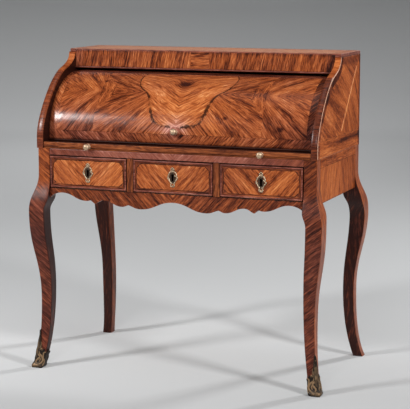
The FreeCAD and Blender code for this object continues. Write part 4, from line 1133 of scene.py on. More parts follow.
def make_side(side, hand):
    """Outer skin of an ogee panel: a crossband inside the edge, and a field quartered by a slanting seam.
    The field's lightness adds the pale seams, a dark foot, back edge and crown, and patches."""
    edge = ogee_line()
    inner = inward(edge, BAND_WIDTH)
    run = np.concatenate([[0], np.cumsum(np.linalg.norm(np.diff(edge, axis=0), axis=1))])
    sheet = Veneer()

    def lay(grid, across, along, light, violet, **more):
        """Stands a grid of y and z on the panel's outer face and lays it."""
        x = np.full(grid.shape[:2], side * (CASE_SIDE + SKIN))
        points = np.stack([x, grid[..., 0], grid[..., 1]], -1)
        sheet.lay(points, across, along, light, violet, turn=side < 0, **more)

    level = edge[:, 1:]
    inset = STRING_INSET[0] + (STRING_INSET[1] - STRING_INSET[0]) * climb(level, 770, 80)
    shares = np.linspace(0, 1, 7)
    outside = shares * BAND_WIDTH < inset
    shade = 0.40 - 0.30 * climb(level, 770, 70) - 0.25 * outside
    across, along = np.broadcast_arrays(run[:, None], BAND_WIDTH * shares)
    lay(between(edge, inner, shares), across, along, shade, 0.3, figure=3)
    rear = np.stack([np.full(len(edge), CASE_BACK), np.linspace(panel_low[2], panel_high[2], len(edge))], -1)
    grid = between(inner, rear, np.linspace(0, 1, 150))
    y, z = grid[..., 0], grid[..., 1]
    across, along, away = seam_grain(y, z, SEAM_FOOT, SEAM_HEAD, SEAM_SLANT)
    foot = z < PANEL_BAND
    across, along = np.where(foot, z, across), np.where(foot, y, along)
    pale = hump(away, 0, 4.5) * (z > SEAM_FOOT[1]) * (z < SEAM_HEAD[1])
    pale += 0.6 * hump(line_distance(grid, SHORT_SEAM), 0, 4)
    dark_foot = hump(z, 722, 11) * np.maximum(climb(y, -80, 90), 0.2)
    seam_y = SEAM_FOOT[0] + (z - SEAM_FOOT[1]) * (SEAM_HEAD - SEAM_FOOT)[0] / (SEAM_HEAD - SEAM_FOOT)[1]
    before = climb(seam_y - y, -3, 6) * (z > PANEL_BAND)
    crown = climb(z, 944, 5)
    light = 0.46 - 0.03 * before + 0.5 * pale - 0.36 * dark_foot - 0.25 * climb(y, 186, 8) - 0.14 * crown
    for patch_y, patch_z, long, tall, lift in SIDE_PATCHES:
        light += lift * hump(y, patch_y, long) * hump(z, patch_z, tall)
    violet = -0.1 + 0.14 * before + 0.3 * dark_foot + 0.25 * pale + 0.25 * crown
    lay(grid, across, along, light, violet, figure=8, joint=np.abs(z - PANEL_BAND) / LINES["panel"])
    piece = sheet.piece("panel_veneer_" + hand, "carcase", materials=(SIDE_VENEER,))
    thicken(piece, SKIN, 0)
    lay_nosing(side, hand, edge, run)
    lay_string(side, hand, edge, inset)


def make_side_rail(side, hand):
    """Side rail between the legs: two upright-grained leaves, mirrored at the middle, under a dark strip."""
    low, high = span("side_rail_" + hand)
    sheet = Veneer()
    for start, end in ((CASE_FRONT + LEG_WIDTH, RAIL_MIDDLE), (RAIL_MIDDLE, CASE_BACK - LEG_WIDTH)):
        for bottom, top in ((low[2], RAIL_STRIP), (RAIL_STRIP, high[2])):
            y, z = np.meshgrid(np.linspace(start, end, 40), np.linspace(bottom, top, 24))
            points = np.stack([np.full(y.shape, side * CASE_SIDE), y, z], -1)
            away = np.abs(y - RAIL_MIDDLE)
            behind = climb(y, -45, 80)
            dark = bottom == RAIL_STRIP
            across, along = (z, away) if dark else (0.95 * away + 0.25 * z, z)
            light, violet = (0.34 + 0.06 * behind, 0.05) if dark else (0.49 - 0.15 * behind, -0.1)
            sheet.lay(points, across, along, light, violet, figure=9 - dark, turn=side < 0,
                      joint=np.abs(z - RAIL_STRIP) / LINES["rail"])
    piece = sheet.piece("rail_veneer_" + hand, "carcase", materials=(SIDE_VENEER, OAK_Y))
    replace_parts(piece, "side_rail_" + hand)
    thicken(piece, high[0] - low[0], 0, core=1)


for side, hand in HANDS:
    make_side(side, hand)
    make_side_rail(side, hand)
    # The side panels take a dark stain, as painted shade on their inner faces beside the fall
    dress("side_panel_" + hand, STAIN_AND_SHADE_Y)


# Frieze and top

FRIEZE_PATCH = (-34 * MM, 26 * MM)
FRIEZE_LIGHT = (0.42, 0.48, 0.37)
FRIEZE_STEP, FRIEZE_LEAN = 2.5 * MM, 0.2
BOW_LEVEL, BOW_RISE, BOW_HALF = 968 * MM, 6 * MM, 30 * MM
TOP_ARRIS = 3 * MM
TOP_BAND = 32 * MM
# The top's leaves are pale and pink, partly as painted sheen of the polish seen at a low angle
TOP_FIELD_LOOK_WITH_SHEEN, TOP_BAND_LOOK_WITH_SHEEN = (0.84, 0.4), (0.72, 0.5)
QUIRK = np.array([(0, 2.6), (1.7, 2.8), (2.6, 3.4), (2.6, 4.6), (1.7, 5.2), (0, 5.4)]) * MM
SLIDE_ROUND = 1.2 * MM
SLIDE_STEPS = 30


def make_frieze():
    """One sheet over the frieze and the top's front edge: leaning upright streaks, with a level-grained patch
    near the middle that has a dark bow above it and a dark line below."""
    low, high = span("top_frieze")
    head = span("top_board")[1][2] - TOP_ARRIS
    sheet = Veneer()
    cuts = (low[0], *FRIEZE_PATCH, high[0])
    for number, (start, end) in enumerate(zip(cuts[:-1], cuts[1:])):
        count = int((end - start) / FRIEZE_STEP)
        x, z = np.meshgrid(np.linspace(start, end, count), np.linspace(low[2], head, 22))
        points = np.stack([x, np.full(x.shape, TOP_FRONT - SKIN), z], -1)
        across, along, mark = x - FRIEZE_LEAN * z, z, 0
        if number == 1:
            bow = z - BOW_LEVEL - BOW_RISE * ((x - (start + end) / 2) / BOW_HALF) ** 2
            across, along, mark = z, x, hump(bow, 0, 3.5) + hump(z, 934, 2.5)
        ends, border = climb(np.abs(x), 396, 12), climb(z, 968, 8)
        light = FRIEZE_LIGHT[number] - 0.28 * mark - 0.16 * ends - 0.12 * border
        sheet.lay(points, across, along, light, 0.12 + 0.4 * ends + 0.3 * border, figure=number)
    piece = sheet.piece("frieze_veneer", "carcase", materials=(FRIEZE_VENEER,))
    thicken(piece, SKIN, 0)


def make_top():
    """The top: a crossband round two leaves whose figure is mirrored at the middle."""
    low, high = span("top_board")
    x_cuts = (low[0], low[0] + TOP_BAND, 0, high[0] - TOP_BAND, high[0])
    y_cuts = (low[1], low[1] + TOP_BAND, high[1] - TOP_BAND, high[1])
    sheet = Veneer()
    for column, (x0, x1) in enumerate(zip(x_cuts[:-1], x_cuts[1:])):
        for row, (y0, y1) in enumerate(zip(y_cuts[:-1], y_cuts[1:])):
            x, y = np.meshgrid(np.linspace(x0, x1, 60 if column in (1, 2) else 8),
                               np.linspace(y0, y1, 36 if row == 1 else 8))
            points = np.stack([x, y, np.full(x.shape, high[2])], -1)
            field = column in (1, 2) and row == 1
            inset = np.minimum(np.minimum(x - x_cuts[1], x_cuts[3] - x),
                               np.minimum(y - y_cuts[1], y_cuts[2] - y))
            across, along = (y, x) if row == 1 else (x, y)
            if field:
                across, along = 0.5 * np.abs(x) + 0.86 * y, 0.86 * np.abs(x) - 0.5 * y
            light, violet = TOP_FIELD_LOOK_WITH_SHEEN if field else TOP_BAND_LOOK_WITH_SHEEN
            sheet.lay(points, across, along, light, violet, figure=2 + field,
                      joint=np.abs(inset) / LINES["top"])
    piece = sheet.piece("top_veneer", "carcase", materials=(TOP_VENEER, OAK_X, VIOLET_X))
    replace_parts(piece, "top_board")
    thicken(piece, high[2] - low[2], 1.6 * MM, core=1, rim=2)


def make_rail_face():
    """Slanting crossband on the rail above the drawers, mirrored at the middle and darker towards its ends as
    painted shadow under the slide's knobs.
    """
    low, high = span("drawer_rail")
    sheet = Veneer()
    for side in SIDES:
        dx, z = np.meshgrid(np.linspace(0, STILE_IN - 0.4 * MM, 130), np.linspace(low[2], high[2], 8))
        points = np.stack([side * dx, np.full(dx.shape, low[1] - SKIN), z], -1)
        # painted shadow of the slide's knobs: darker towards both ends
        light = 0.61 - 0.16 * climb(dx, 230, 120)
        # the dark line along the foot, by the drawer openings, is dirt and painted shade in the crevice
        sheet.lay(points, *mitred_grain(dx, z), light, 1.0, figure=3, turn=side < 0,
                  joint=(z - low[2]) / LINES["rail face"])
    piece = sheet.piece("rail_face_veneer", "carcase", "kingwood", (EDGE_VENEER,))
    thicken(piece, SKIN, 0)


def make_slide_edge():
    """The slide's front edge: a section with rounded arrises and a quirk along its foot, carried along X,
    with its ends drawn together."""
    low, high = span("slide_lipping")
    _, deep, tall = high - low
    arc = np.linspace(0, math.pi / 2, 5)
    dip, back = SLIDE_ROUND * (1 - np.cos(arc)), SLIDE_ROUND * (1 - np.sin(arc))
    foot, head = np.stack([back, dip], -1), np.stack([dip, tall - back], -1)
    section = np.concatenate([[(deep, 0)], foot, QUIRK, head, [(deep, tall)]])
    x = np.concatenate([[low[0]], np.linspace(low[0], high[0], SLIDE_STEPS), [high[0]]])
    shrink = np.concatenate([[0], np.ones(SLIDE_STEPS), [0]])[:, None, None]
    middle = section.mean(0)
    rings = middle + shrink * (section - middle) + low[1:]
    points = np.concatenate([np.broadcast_to(x[:, None, None], (*rings.shape[:2], 1)), rings], -1)
    edge = Casting()
    edge.add(points, 0.5)
    piece = edge.piece("slide_edge", "slide", "rosewood", EDGE_X)
    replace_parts(piece, "slide_lipping")
    # Its top takes the dark stained finish, as painted shade under the fall
    paint_shade_upward(piece)


make_frieze()
make_top()
make_rail_face()
make_slide_edge()
dress("top_frieze", OAK_X)
softened("frieze_lip", VIOLET_X, 1.6 * MM)
softened("drawer_rail", VIOLET_X, 0.6 * MM)
dress("drawer_dividers", EDGE_Z)


# Drawer fronts

BEAD_WIDTH = 4.6 * MM
BEAD_PROUD = 2.2 * MM
BEAD_INSET, BEAD_SUNK = 0.1 * MM, 0.4 * MM
BORDER = 10.5 * MM
CANT = 13 * MM
OPENING_GAP = 1.6 * MM
# Lightness of each front's left and right leaf
DRAWER_LIGHT = {"left": (0.51, 0.585), "centre": (0.495, 0.48), "right": (0.41, 0.45)}
FIELD_FACE = -241.3 * MM
DRAWER_BACK = 16 * MM
KEY_HALF, KEY_LOW, KEY_HIGH = 4.4 * MM, -14 * MM, 12 * MM
DRAWER_SLANT = math.radians(47)
FIELD_VIOLET = 0.05
BORDER_LOOK = (0.26, 0.45)
CORNERS = np.array([(-1, -1), (1, -1), (1, 1), (-1, 1)])


def make_drawer_front(hand):
    """A slab whose field has canted corners: two mirrored leaves with a keyhole through their seam, and a
    dark border round them, mitred at the corners."""
    low, high = span("drawer_" + hand + "_front")
    middle = (low + high) / 2
    half_x, half_z = (high - low)[[0, 2]] / 2 - OPENING_GAP
    field_x, field_z = half_x - BORDER, half_z - BORDER
    straight = field_z - CANT
    stops = (-field_z, -straight, KEY_LOW, KEY_HIGH, straight, field_z)
    levels = [np.linspace(start, end, 7) for start, end in zip(stops[:-1], stops[1:])]
    levels = np.unique(np.round(np.concatenate(levels), 9))
    reach = field_x - np.clip(np.abs(levels) - straight, 0, None)
    shares = np.concatenate([[0], np.linspace(KEY_HALF / field_x, 1, 30)])
    edge_shares = np.linspace(0, 1, 9)
    seam, cant, rim = (np.stack(np.broadcast_arrays(dx, levels), -1) for dx in (0.0, reach, half_x))
    keep = np.ones((len(levels) - 1, len(shares) - 1), bool)
    keep[(levels[:-1] > KEY_LOW - WELD) & (levels[1:] < KEY_HIGH + WELD), 0] = False
    run = np.concatenate([reach[-1] * shares, reach[-1] + (half_x - reach[-1]) * edge_shares[1:]])
    sheet = Veneer()

    def lay(grid, side, border, keep=None):
        """Lays a grid of distances from the seam and heights to one side, with a joint round the field: the
        least of the distances to its ends, its head or foot, and its cants."""
        dx, z = grid[..., 0], grid[..., 1]
        points = np.stack([middle[0] + side * dx, np.full(dx.shape, FIELD_FACE), middle[2] + z], -1)
        inset = np.minimum(np.minimum(field_x - dx, field_z - np.abs(z)),
                           (field_x + field_z - CANT - dx - np.abs(z)) / math.sqrt(2))
        across, along = slanted(z, dx, DRAWER_SLANT)
        light, violet = DRAWER_LIGHT[hand][side > 0], FIELD_VIOLET
        if border:
            upright = np.abs(z) - field_z > dx - field_x
            across, along = np.where(upright, z, dx), np.where(upright, dx, z)
            light, violet = BORDER_LOOK
        sheet.lay(points, across, along, light, violet, joint=np.abs(inset) / LINES["drawer"],
                  figure=4 + DRAWERS.index(hand), keep=keep, turn=side < 0)

    for side in SIDES:
        lay(between(seam, cant, shares), side, False, keep)
        lay(between(cant, rim, edge_shares), side, True)
        for start, end in ((-half_z, -field_z), (field_z, half_z)):
            lay(np.stack(np.meshgrid(run, np.linspace(start, end, 5)), -1), side, True)
    # The front's edges take the dark stained finish, partly painted shade in the gap round the drawer
    piece = sheet.piece("drawer_front_" + hand, "drawer_" + hand, materials=(VENEER, OAK_X, STAIN_AND_SHADE_X))
    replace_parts(piece, "drawer_" + hand + "_front")
    thicken(piece, DRAWER_BACK, 0.3 * MM, core=1, rim=2)
    make_bead(hand, middle, half_x, half_z)


def make_bead(hand, middle, half_x, half_z):
    """A half-round bead mitred round a drawer front: its closed section, drawn at the four corners."""
    angle = np.linspace(0, math.pi, 11)
    depth = BEAD_WIDTH * np.concatenate([0.5 * (1 - np.cos(angle)), [0.7, 0.3]]) + BEAD_INSET
    proud = np.concatenate([BEAD_PROUD * np.sin(angle), [-BEAD_SUNK, -BEAD_SUNK]])
    x = middle[0] + CORNERS[:, None, 0] * (half_x - depth)
    z = middle[2] + CORNERS[:, None, 1] * (half_z - depth)
    bead = Casting()
    bead.add(np.stack([x, np.broadcast_to(FIELD_FACE - proud, x.shape), z], -1), 0.5, wrap_rows=True)
    bead.piece("drawer_bead_" + hand, "drawer_" + hand, "kingwood", VIOLET_X)


# Knobs

KNOB_PROFILE = np.array([(0, -3), (8, -3), (8, 0.6), (7.4, 1.6), (6.2, 2.0), (5.4, 2.2), (4.4, 3.2),
                         (3.9, 5.0), (3.8, 6.4), (4.6, 7.2), (4.9, 7.8)]) * MM
KNOB_BALL, KNOB_DOME, KNOB_RISE = 10.0 * MM, 8.2 * MM, 15 * MM
KNOB_NECK = math.radians(-47)
FALL_KNOB_TURN = math.radians(170)
SLIDE_KNOB_X = 276 * MM
NEST_KNOB_SCALE, NEST_KNOB_SIDES = 0.5, 28
KNOB_SHINE, KNOB_DULL, KNOB_LIMITS = 400, 0.35, (0.2, 0.9)


def add_knob(casting, seat, out, scale=1.0, sides=40):
    """A turned knob: a profile of rose, waisted neck and ball, spun about the line it stands out on. Its
    relief grows with how fast the profile rises."""
    sweep = np.linspace(KNOB_NECK, math.pi / 2, 22)
    ball = np.stack([KNOB_BALL * np.cos(sweep), KNOB_RISE + KNOB_DOME * np.sin(sweep)], -1)
    profile = np.concatenate([KNOB_PROFILE, ball]) * scale
    out = np.asarray(out, float)
    first = np.array([1.0, 0.0, 0.0])
    second = np.cross(out, first)
    angle = np.linspace(0, 2 * math.pi, sides, endpoint=False)
    ring = np.cos(angle)[:, None] * first + np.sin(angle)[:, None] * second
    points = np.asarray(seat) + profile[:, None, 1:] * out + profile[:, None, :1] * ring[None]
    relief = np.clip(np.gradient(profile[:, 1]) * KNOB_SHINE + KNOB_DULL, *KNOB_LIMITS)
    casting.add(points, relief[:, None])


def make_knobs():
    """One knob on the fall, two on the slide, and a small one on each nest drawer."""
    out = (0, math.cos(FALL_KNOB_TURN), math.sin(FALL_KNOB_TURN))
    seat = (CARTOUCHE_X, AXIS_Y + FALL_RADIUS * out[1], AXIS_Z + FALL_RADIUS * out[2])
    knob = Casting()
    add_knob(knob, seat, out)
    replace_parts(knob.piece("fall_knob", "cylinder", "brass", BRASS), "cylinder_knob")
    low, high = span("slide_lipping")
    pair = Casting()
    for side in SIDES:
        add_knob(pair, (side * SLIDE_KNOB_X, low[1], (low[2] + high[2]) / 2), (0, -1, 0))
    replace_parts(pair.piece("slide_knob_pair", "slide", "brass", BRASS), "slide_knobs")
    for hand in DRAWERS:
        low, high = span("nest_drawer_" + hand + "_knob")
        face = span("nest_drawer_" + hand + "_box")[0][1]
        small = Casting()
        seat = ((low[0] + high[0]) / 2, face, (low[2] + high[2]) / 2)
        add_knob(small, seat, (0, -1, 0), NEST_KNOB_SCALE, NEST_KNOB_SIDES)
        piece = small.piece("nest_knob_" + hand, "nest_drawer_" + hand, "brass", BRASS)
        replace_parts(piece, "nest_drawer_" + hand + "_knob")


make_knobs()


# Escutcheons: a pierced plate with scrolls, a crest and a trefoil foot

# The plate in millimetres: the keyhole's eye and slot, the rim, and each ring's share from hole to rim,
# height and relief
EYE_RADIUS, EYE_LEVEL = 4.2, 6.5
SLOT_HALF, SLOT_FOOT, SLOT_BOW, SLOT_FROM = 3.2, -9.0, 2.6, -0.55
RIM_HALF, RIM_TALL, RIM_TAPER = 10.5, 17.5, 0.15
PLATE_RINGS = ((0, -0.2, 0), (0, 1.0, 0.1), (0.12, 1.4, 0.3), (0.5, 1.1, 0.15), (0.88, 1.3, 0.35),
               (1, 0.9, 0.5), (1, -0.2, 0.1), (0.5, -0.2, 0))
# Each scroll's points and thickness
SCROLLS = (
    ([(-2, 20), (-7, 17), (-12, 9), (-14.5, 1), (-11, -7), (-7, -13), (-4, -17), (-1.5, -15)], 1.7),
    ([(2, 20), (7, 18), (11, 13), (13, 7), (10.5, 4), (8.5, 6.5), (10, 8.5)], 1.6),
    ([(8.5, 5), (13, 3), (15.5, -1), (13, -5), (9.5, -9), (7, -14), (4, -18), (1.5, -15.5)], 1.7),
    ([(-2.5, 19), (-5, 23), (-3, 27.5), (0, 29.5), (3, 27.5), (5, 23), (2.5, 19)], 1.4),
    ([(0, 17), (0.4, 22), (0, 26)], 1.3),
    ([(-12, -3), (-15.5, -2), (-15, 2.5), (-12.5, 3.5)], 1.2),
    ([(-3, -17), (-5, -20.5), (-5.8, -24), (-3.6, -27), (-1.6, -25)], 1.5),
    ([(3, -17), (5, -20.5), (5.8, -24), (3.6, -27), (1.6, -25)], 1.5),
    ([(0, -22), (0, -26), (0, -29)], 2.0),
)
SCROLL_LIFT, SCROLL_SWELL = 1.1 * MM, 1.35 * MM
SCROLL_STEPS, SCROLL_FINE = 40, 200
NO_STEP = 1e-7


def blunt_ends(shares, least=0.0):
    """A share that is one along a rod and drops round at both ends."""
    return np.sqrt(np.clip(1 - (2 * shares - 1) ** 8, least, 1))


def make_escutcheon(hand):
    """Pierced plate round the keyhole, a scrolled frame on each side, a leaf crest and a three-lobed foot.
    The plate is a closed ring of sections from hole to rim; scrolls and lobes are tapering rods."""
    low, high = span("drawer_" + hand + "_escutcheon")
    x0, z0 = (low[0] + high[0]) / 2, (low[2] + high[2]) / 2
    casting = Casting()

    def place(line, lift):
        """A line in millimetres about the plate's middle, lifted off the drawer's face."""
        line = np.asarray(line, float) * MM
        return np.stack([x0 + line[:, 0], np.full(len(line), FIELD_FACE) - lift, z0 + line[:, 1]], -1)

    angle = np.linspace(0, 2 * math.pi, 48, endpoint=False)
    sine, cosine = np.sin(angle), np.cos(angle)
    eye = np.stack([EYE_RADIUS * sine, EYE_LEVEL + EYE_RADIUS * cosine], -1)
    slot = np.stack([SLOT_HALF * np.sign(sine) * np.minimum(1, np.abs(sine) * 2),
                     SLOT_FOOT + SLOT_BOW * cosine], -1)
    hole = np.where((cosine > SLOT_FROM)[:, None], eye, slot)
    rim = np.stack([RIM_HALF * sine * (1 - RIM_TAPER * cosine), RIM_TALL * cosine], -1)
    rings = [place(hole * (1 - share) + rim * share, lift * MM) for share, lift, _ in PLATE_RINGS]
    casting.add(np.stack(rings), np.array(PLATE_RINGS)[:, 2:], wrap_rows=True)
    for line, thick in SCROLLS:
        shares = end_spaced(SCROLL_STEPS)
        fine = smooth_line(place(line, SCROLL_LIFT), SCROLL_FINE)
        path = fine[np.round(shares * (SCROLL_FINE - 1)).astype(int)]
        keep = np.concatenate([[True], np.linalg.norm(np.diff(path, axis=0), axis=1) > NO_STEP])
        path, shares = path[keep], shares[keep]
        pulse = 0.72 + 0.28 * np.cos(4 * math.pi * shares) ** 2
        points, relief = rod(path, SCROLL_SWELL * thick * blunt_ends(shares) * pulse, (0, -1, 0))
        casting.add(points, 0.25 + 0.75 * relief)
    piece = casting.piece("escutcheon_" + hand, "drawer_" + hand, "gilt_bronze", GILT)
    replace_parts(piece, "drawer_" + hand + "_escutcheon")


for hand in DRAWERS:
    make_drawer_front(hand)
    make_escutcheon(hand)
    dress("drawer_" + hand + "_box", OAK_Y)
    dress("drawer_" + hand + "_bottom", OAK_X)
    dress("drawer_" + hand + "_lock", IRON)
    dress("drawer_" + hand + "_bolt", IRON)
    dress("nest_drawer_" + hand + "_box", OAK_X)


# Sabots: a cast shoe with a leaf up the arris and scrolls over the toe

FOOT_WIDTH = 31 * MM
SHOE_STEPS = 44
SHOE_LEVEL = 20 * MM
ARRIS_WIDTH = 0.26
SHOE_COAT, SHOE_LIP, SHOE_WALL, SHOE_HOLLOW = 1.2, 0.1 * MM, 1.0 * MM, 30 * MM
FULL_RELIEF = 7
CURL_LIFT, CURL_RADIUS, CURL_STEPS = 2.4 * MM, 3.0 * MM, 46
# Scrolls on the shoe: share of a face away from the arris, and height in millimetres
CURLS = ([(0.12, 6), (0.55, 10), (0.85, 22), (0.62, 36), (0.30, 44), (0.22, 54), (0.42, 60), (0.5, 52)],
         [(0.06, 22), (0.3, 26), (0.42, 34), (0.22, 40), (0.05, 48), (0.12, 74), (0.03, 88), (0.0, 116)],
         [(0.30, 12), (0.16, 20), (0.34, 30), (0.56, 27), (0.5, 18)],
         [(0.10, 58), (0.24, 66), (0.20, 78), (0.06, 80)],
         [(0.9, 6), (0.96, 20), (0.8, 34), (0.75, 46), (0.92, 50)])


def shoe_relief(away, z, shares):
    """How far the shoe's skin swells out, in millimetres, by its share of a face away from the arris, its
    height, and its share of the way up: a rolled toe, waving ribs, a spine up the arris and a lip."""
    toe = 4.4 * np.exp(-(away / 0.9) ** 2) * np.exp(-((z - 10) / 8) ** 2) + 1.4 * np.exp(-((z - 4) / 5) ** 2)
    wave = np.cos(2 * math.pi * (away * 2.2 + 0.25 * np.sin(z / 9))) ** 2
    rib = 1.7 * wave * np.exp(-((z - 34) / 26) ** 2)
    spine = np.exp(-(away / ARRIS_WIDTH) ** 2) * np.clip((z - 18) / 30, 0, 1) * np.clip((122 - z) / 40, 0, 1)
    lip = 1.6 * np.exp(-((shares - 0.96) / 0.07) ** 2)
    return toe + rib + 4.2 * spine + lip


def make_sabot(side, hand):
    """The shoe's skin follows the foot, grown by a coat and by the relief, up to a lobed edge that climbs to
    a point at the outer arris. Scroll rods lie on the skin."""
    shares = np.linspace(0, 1, SHOE_STEPS)[:, None]
    corner_miss = LOOP_CORNER + 0.3 * LOOP_OFFSET - 1.2 * np.array([side, -1])
    home = np.argmin(np.sum(corner_miss ** 2, -1))
    columns = len(LOOP_CORNER)
    base = leg_points(side, False, np.array([SHOE_LEVEL]))[0]
    ring = np.linalg.norm(np.diff(np.concatenate([base, base[:1]]), axis=0), axis=1)
    run = np.concatenate([[0], np.cumsum(ring)[:-1]])
    total = ring.sum()
    from_arris = (run - run[home] + total / 2) % total - total / 2
    away = np.abs(from_arris) / FOOT_WIDTH
    lobes = 7 * np.cos(3 * math.pi * away) + 60 * np.exp(-(away / ARRIS_WIDTH) ** 2)
    level = shares * (53 + lobes - 5 * np.clip(away - 1, 0, 1)) * MM
    skin = leg_points(side, False, level.reshape(-1)).reshape(SHOE_STEPS, columns, columns, 3)
    skin = skin[:, np.arange(columns), np.arange(columns)]
    out = LOOP_OFFSET / np.linalg.norm(LOOP_OFFSET, axis=1, keepdims=True)
    z = level / MM
    relief = shoe_relief(away, z, shares)
    coat = (SHOE_COAT + relief) * (1 - 0.8 * np.clip(1 - z / 7, 0, 1) ** 2) * MM
    coat[-1] = SHOE_LIP
    skin[..., :2] += coat[..., None] * out
    hollow = skin[-1:].copy()
    hollow[..., :2] -= SHOE_WALL * out
    foot_middle = skin[:1].mean(1, keepdims=True)
    sole = 0.4 * skin[:1] + 0.6 * foot_middle
    floor = hollow.mean(1, keepdims=True) - [0, 0, SHOE_HOLLOW]
    casting = Casting()
    casting.add(np.concatenate([np.broadcast_to(foot_middle, sole.shape), sole, skin, hollow,
                                np.broadcast_to(floor, sole.shape)]),
                np.pad(np.clip(relief / FULL_RELIEF, 0, 1), ((2, 2), (0, 0))))
    order = np.argsort(from_arris)

    def on_foot(share, height):
        """A point over the foot by its share of a face away from the outer arris and its height, and the way
        that it faces."""
        spots = np.interp(share * FOOT_WIDTH, from_arris[order], np.arange(columns))
        first = np.clip(spots.astype(int), 0, columns - 2)
        part = (spots - first)[:, None]
        rows = np.arange(len(height))
        skins = leg_points(side, False, height)[:, order]
        point = skins[rows, first] * (1 - part) + skins[rows, first + 1] * part
        facing = out[order][first] * (1 - part) + out[order][first + 1] * part
        facing = np.concatenate([facing, np.zeros((len(height), 1))], 1)
        facing /= np.linalg.norm(facing, axis=1, keepdims=True)
        return point + facing * CURL_LIFT, facing

    for mirror in SIDES:
        for curl in CURLS:
            line = smooth_line(np.array(curl) * (mirror, MM), CURL_STEPS)
            path, facing = on_foot(line[:, 0], line[:, 1])
            along = np.linspace(0, 1, CURL_STEPS)
            radius = CURL_RADIUS * blunt_ends(along, 1e-4) * (1.1 - 0.45 * along)
            points, high = rod(path, radius, facing, flat=0.62)
            casting.add(points, 0.3 + 0.7 * high)
    piece = casting.piece("sabot_bronze_" + hand, "carcase", "gilt_bronze", DARK_BRONZE)
    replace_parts(piece, "sabot_" + hand)


for side, hand in HANDS:
    make_sabot(side, hand)


# Inside: leather on the slide, oak carcase boards and the nest

LEATHER_THICKNESS, LEATHER_LIE = 1.2 * MM, 0.12 * MM


def make_leather():
    """The writing leather: a sheet with faint hollows, by crossed sine waves, that carries its distance from
    the edge at each point."""
    low, high = span("slide_leather")
    x, y = np.meshgrid(np.linspace(low[0], high[0], 220), np.linspace(low[1], high[1], 76))
    edge = np.minimum(np.minimum(x - low[0], high[0] - x), np.minimum(y - low[1], high[1] - y))
    lie = LEATHER_LIE * np.sin(x * 23 + 1.3 * np.sin(y * 31)) * np.sin(y * 37) - LEATHER_LIE
    sheet = Veneer()
    sheet.lay(np.stack([x, y, high[2] + lie * climb(edge, 0, 20)], -1), x, y, joint=edge)
    piece = sheet.piece("writing_leather", "slide", "leather", (LEATHER,))
    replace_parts(piece, "slide_leather")
    thicken(piece, LEATHER_THICKNESS, 0.3 * MM)


make_leather()
# The slide board takes the dark stained finish, as painted shade under the fall
for node, material in (("slide_board", STAIN_AND_SHADE_X), ("slide_guides", OAK_Y), ("slide_bed", OAK_X),
                       ("drawer_runners", OAK_Y), ("back_rail", OAK_X), ("back_panel", OAK_X),
                       ("nest_floor", OAK_X), ("nest_ends", OAK_Z), ("nest_back", OAK_X),
                       ("nest_shelves", OAK_X), ("nest_dividers", OAK_Z)):
    dress(node, material)


# Stage: a pale bowl of paper, soft lamps, and the camera where the photograph was taken

CAMERA_PLACE = (1.7166, -4.3999, 1.2398)
CAMERA_TURN, CAMERA_DIP = math.radians(21.2065), math.radians(8.8747)
CAMERA_LENS, SENSOR_WIDTH = 134.53, 36
FLOOR_RADIUS, FLOOR_STEPS, BOWL_RADIUS, WALL_TOP, FLOOR_SIDES = 6.6, 34, 2.0, 3.6, 96
# The paper's grey by its share of the way back and up, and its tint; the grey is a painted fall-off of the
# lamps' light
PAPER_PAINTED_TONES = ((0.0, 0.44), (0.13, 0.575), (0.19, 0.755), (0.28, 0.755), (0.48, 0.75), (0.60, 0.68),
               (0.74, 0.655), (0.82, 0.54), (1.0, 0.325))
PAPER_TINT = (0.985, 1.0, 1.01)
PAPER_NEAR, PAPER_RUN, PAPER_LIFT, PAPER_SHADE_FALL_OFF = 2.0, 12.0, 2.0, -0.13
# Lamps by place, aim, size and power
DESK_MIDDLE = (0, 0, 0.6)
LAMPS = {
    "key_lamp": ((-2.2, -2.65, 2.5), DESK_MIDDLE, 0.5, 64),
    "front_lamp": ((0.9, -4.1, 2.6), DESK_MIDDLE, 1.4, 40),
    "glint_lamp": ((-1.97, -2.6, 2.5), (-0.4, -0.2, 0.8), 0.5, 10),
    "right_lamp": ((3.1, -1.45, 2.4), DESK_MIDDLE, 0.45, 70),
    "rear_lamp": ((2.0, 3.0, 2.6), DESK_MIDDLE, 0.4, 72),
    "head_lamp": ((0.2, -0.6, 4.2), DESK_MIDDLE, 2.4, 16),
    "paper_lamp": ((-2.3, 4.8, 3.4), (-2.9, 7.6, 0.3), 2.0, 62),
}
WORLD_STRENGTH = 0.13


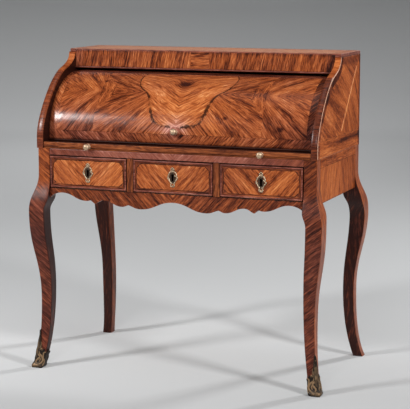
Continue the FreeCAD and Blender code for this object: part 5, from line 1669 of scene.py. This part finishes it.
def make_stage():
    """A floor disc that curves up into a low wall all round: a profile of radius and height, spun about Z.
    Its tone is painted light and shade: it follows the depth from the camera and the height, and near the
    desk it falls off to the right."""
    arc = np.linspace(0, math.pi / 2, 16)
    wall = FLOOR_RADIUS + BOWL_RADIUS
    radius = np.concatenate([np.linspace(0, FLOOR_RADIUS, FLOOR_STEPS),
                             FLOOR_RADIUS + BOWL_RADIUS * np.sin(arc), [wall]])[:, None]
    height = np.concatenate([np.zeros(FLOOR_STEPS), BOWL_RADIUS * (1 - np.cos(arc)), [WALL_TOP]])[:, None]
    angle = np.linspace(0, 2 * math.pi, FLOOR_SIDES, endpoint=False)
    points = np.stack(np.broadcast_arrays(radius * np.cos(angle), radius * np.sin(angle), height), -1)
    quads = grid_quads(len(radius), FLOOR_SIDES, wrap_columns=True)
    mesh = new_mesh("studio_floor", points, quads[:, ::-1].tolist())
    weld(mesh)
    mesh.shade_smooth()
    material, bench, shader = new_material("studio paper")
    x, y, z = bench.parts(bench.place())
    sine, cosine = math.sin(CAMERA_TURN), math.cos(CAMERA_TURN)
    depth = bench.math("SUBTRACT", bench.math("MULTIPLY", y, cosine), bench.math("MULTIPLY", x, sine))
    aside = bench.math("ADD", bench.math("MULTIPLY", x, cosine), bench.math("MULTIPLY", y, sine))
    lifted = bench.math("MULTIPLY_ADD", z, PAPER_LIFT, depth)
    far = bench.math("DIVIDE", bench.math("ADD", lifted, PAPER_NEAR), PAPER_RUN)
    tone = bench.ramp(far, [(stop, (*(grey * tint for tint in PAPER_TINT), 1)) for stop, grey in PAPER_PAINTED_TONES])
    painted_fall_off = bench.math("MULTIPLY", aside, bench.mask(far, 0.35, 0.75, PAPER_SHADE_FALL_OFF, 0.0))
    gain = bench.math("ADD", painted_fall_off, 1.0)
    bench.feed(shader.inputs["Base Color"], bench.scaled(tone, bench.joined(gain, gain, gain)))
    shader.inputs["Roughness"].default_value = 0.9
    shader.inputs["Specular IOR Level"].default_value = 0.1
    mesh.materials.append(material)
    floor = bpy.data.objects.new("studio_floor", mesh)
    bpy.context.scene.collection.objects.link(floor)


def add_lamp(name, place, aim, size, power):
    """A square soft lamp at a place, turned to its aim."""
    data = bpy.data.lights.new(name, "AREA")
    data.shape = "SQUARE"
    data.size = size
    data.energy = power
    lamp = bpy.data.objects.new(name, data)
    lamp.location = place
    lamp.rotation_mode = "QUATERNION"
    lamp.rotation_quaternion = (Vector(aim) - Vector(place)).to_track_quat("-Z", "Y")
    bpy.context.scene.collection.objects.link(lamp)


def make_light():
    """The lamps, and a faint white world."""
    for name, lamp in LAMPS.items():
        add_lamp(name, *lamp)
    world = bpy.data.worlds.new("studio")
    bpy.context.scene.world = world
    world.use_nodes = True
    sky = next(node for node in world.node_tree.nodes if node.type == "BACKGROUND")
    sky.inputs["Color"].default_value = (1, 1, 1, 1)
    sky.inputs["Strength"].default_value = WORLD_STRENGTH


def make_camera():
    """The camera at the photograph's place, turned by its azimuth and dip."""
    data = bpy.data.cameras.new("photo_camera")
    data.lens = CAMERA_LENS
    data.sensor_width = SENSOR_WIDTH
    camera = bpy.data.objects.new("photo_camera", data)
    camera.location = CAMERA_PLACE
    camera.rotation_mode = "QUATERNION"
    level = math.cos(CAMERA_DIP)
    ahead = Vector((-math.sin(CAMERA_TURN) * level, math.cos(CAMERA_TURN) * level, -math.sin(CAMERA_DIP)))
    camera.rotation_quaternion = ahead.to_track_quat("-Z", "Y")
    bpy.context.scene.collection.objects.link(camera)
    bpy.context.scene.camera = camera


make_stage()
make_light()
make_camera()
bpy.context.scene.view_settings.view_transform = "Standard"
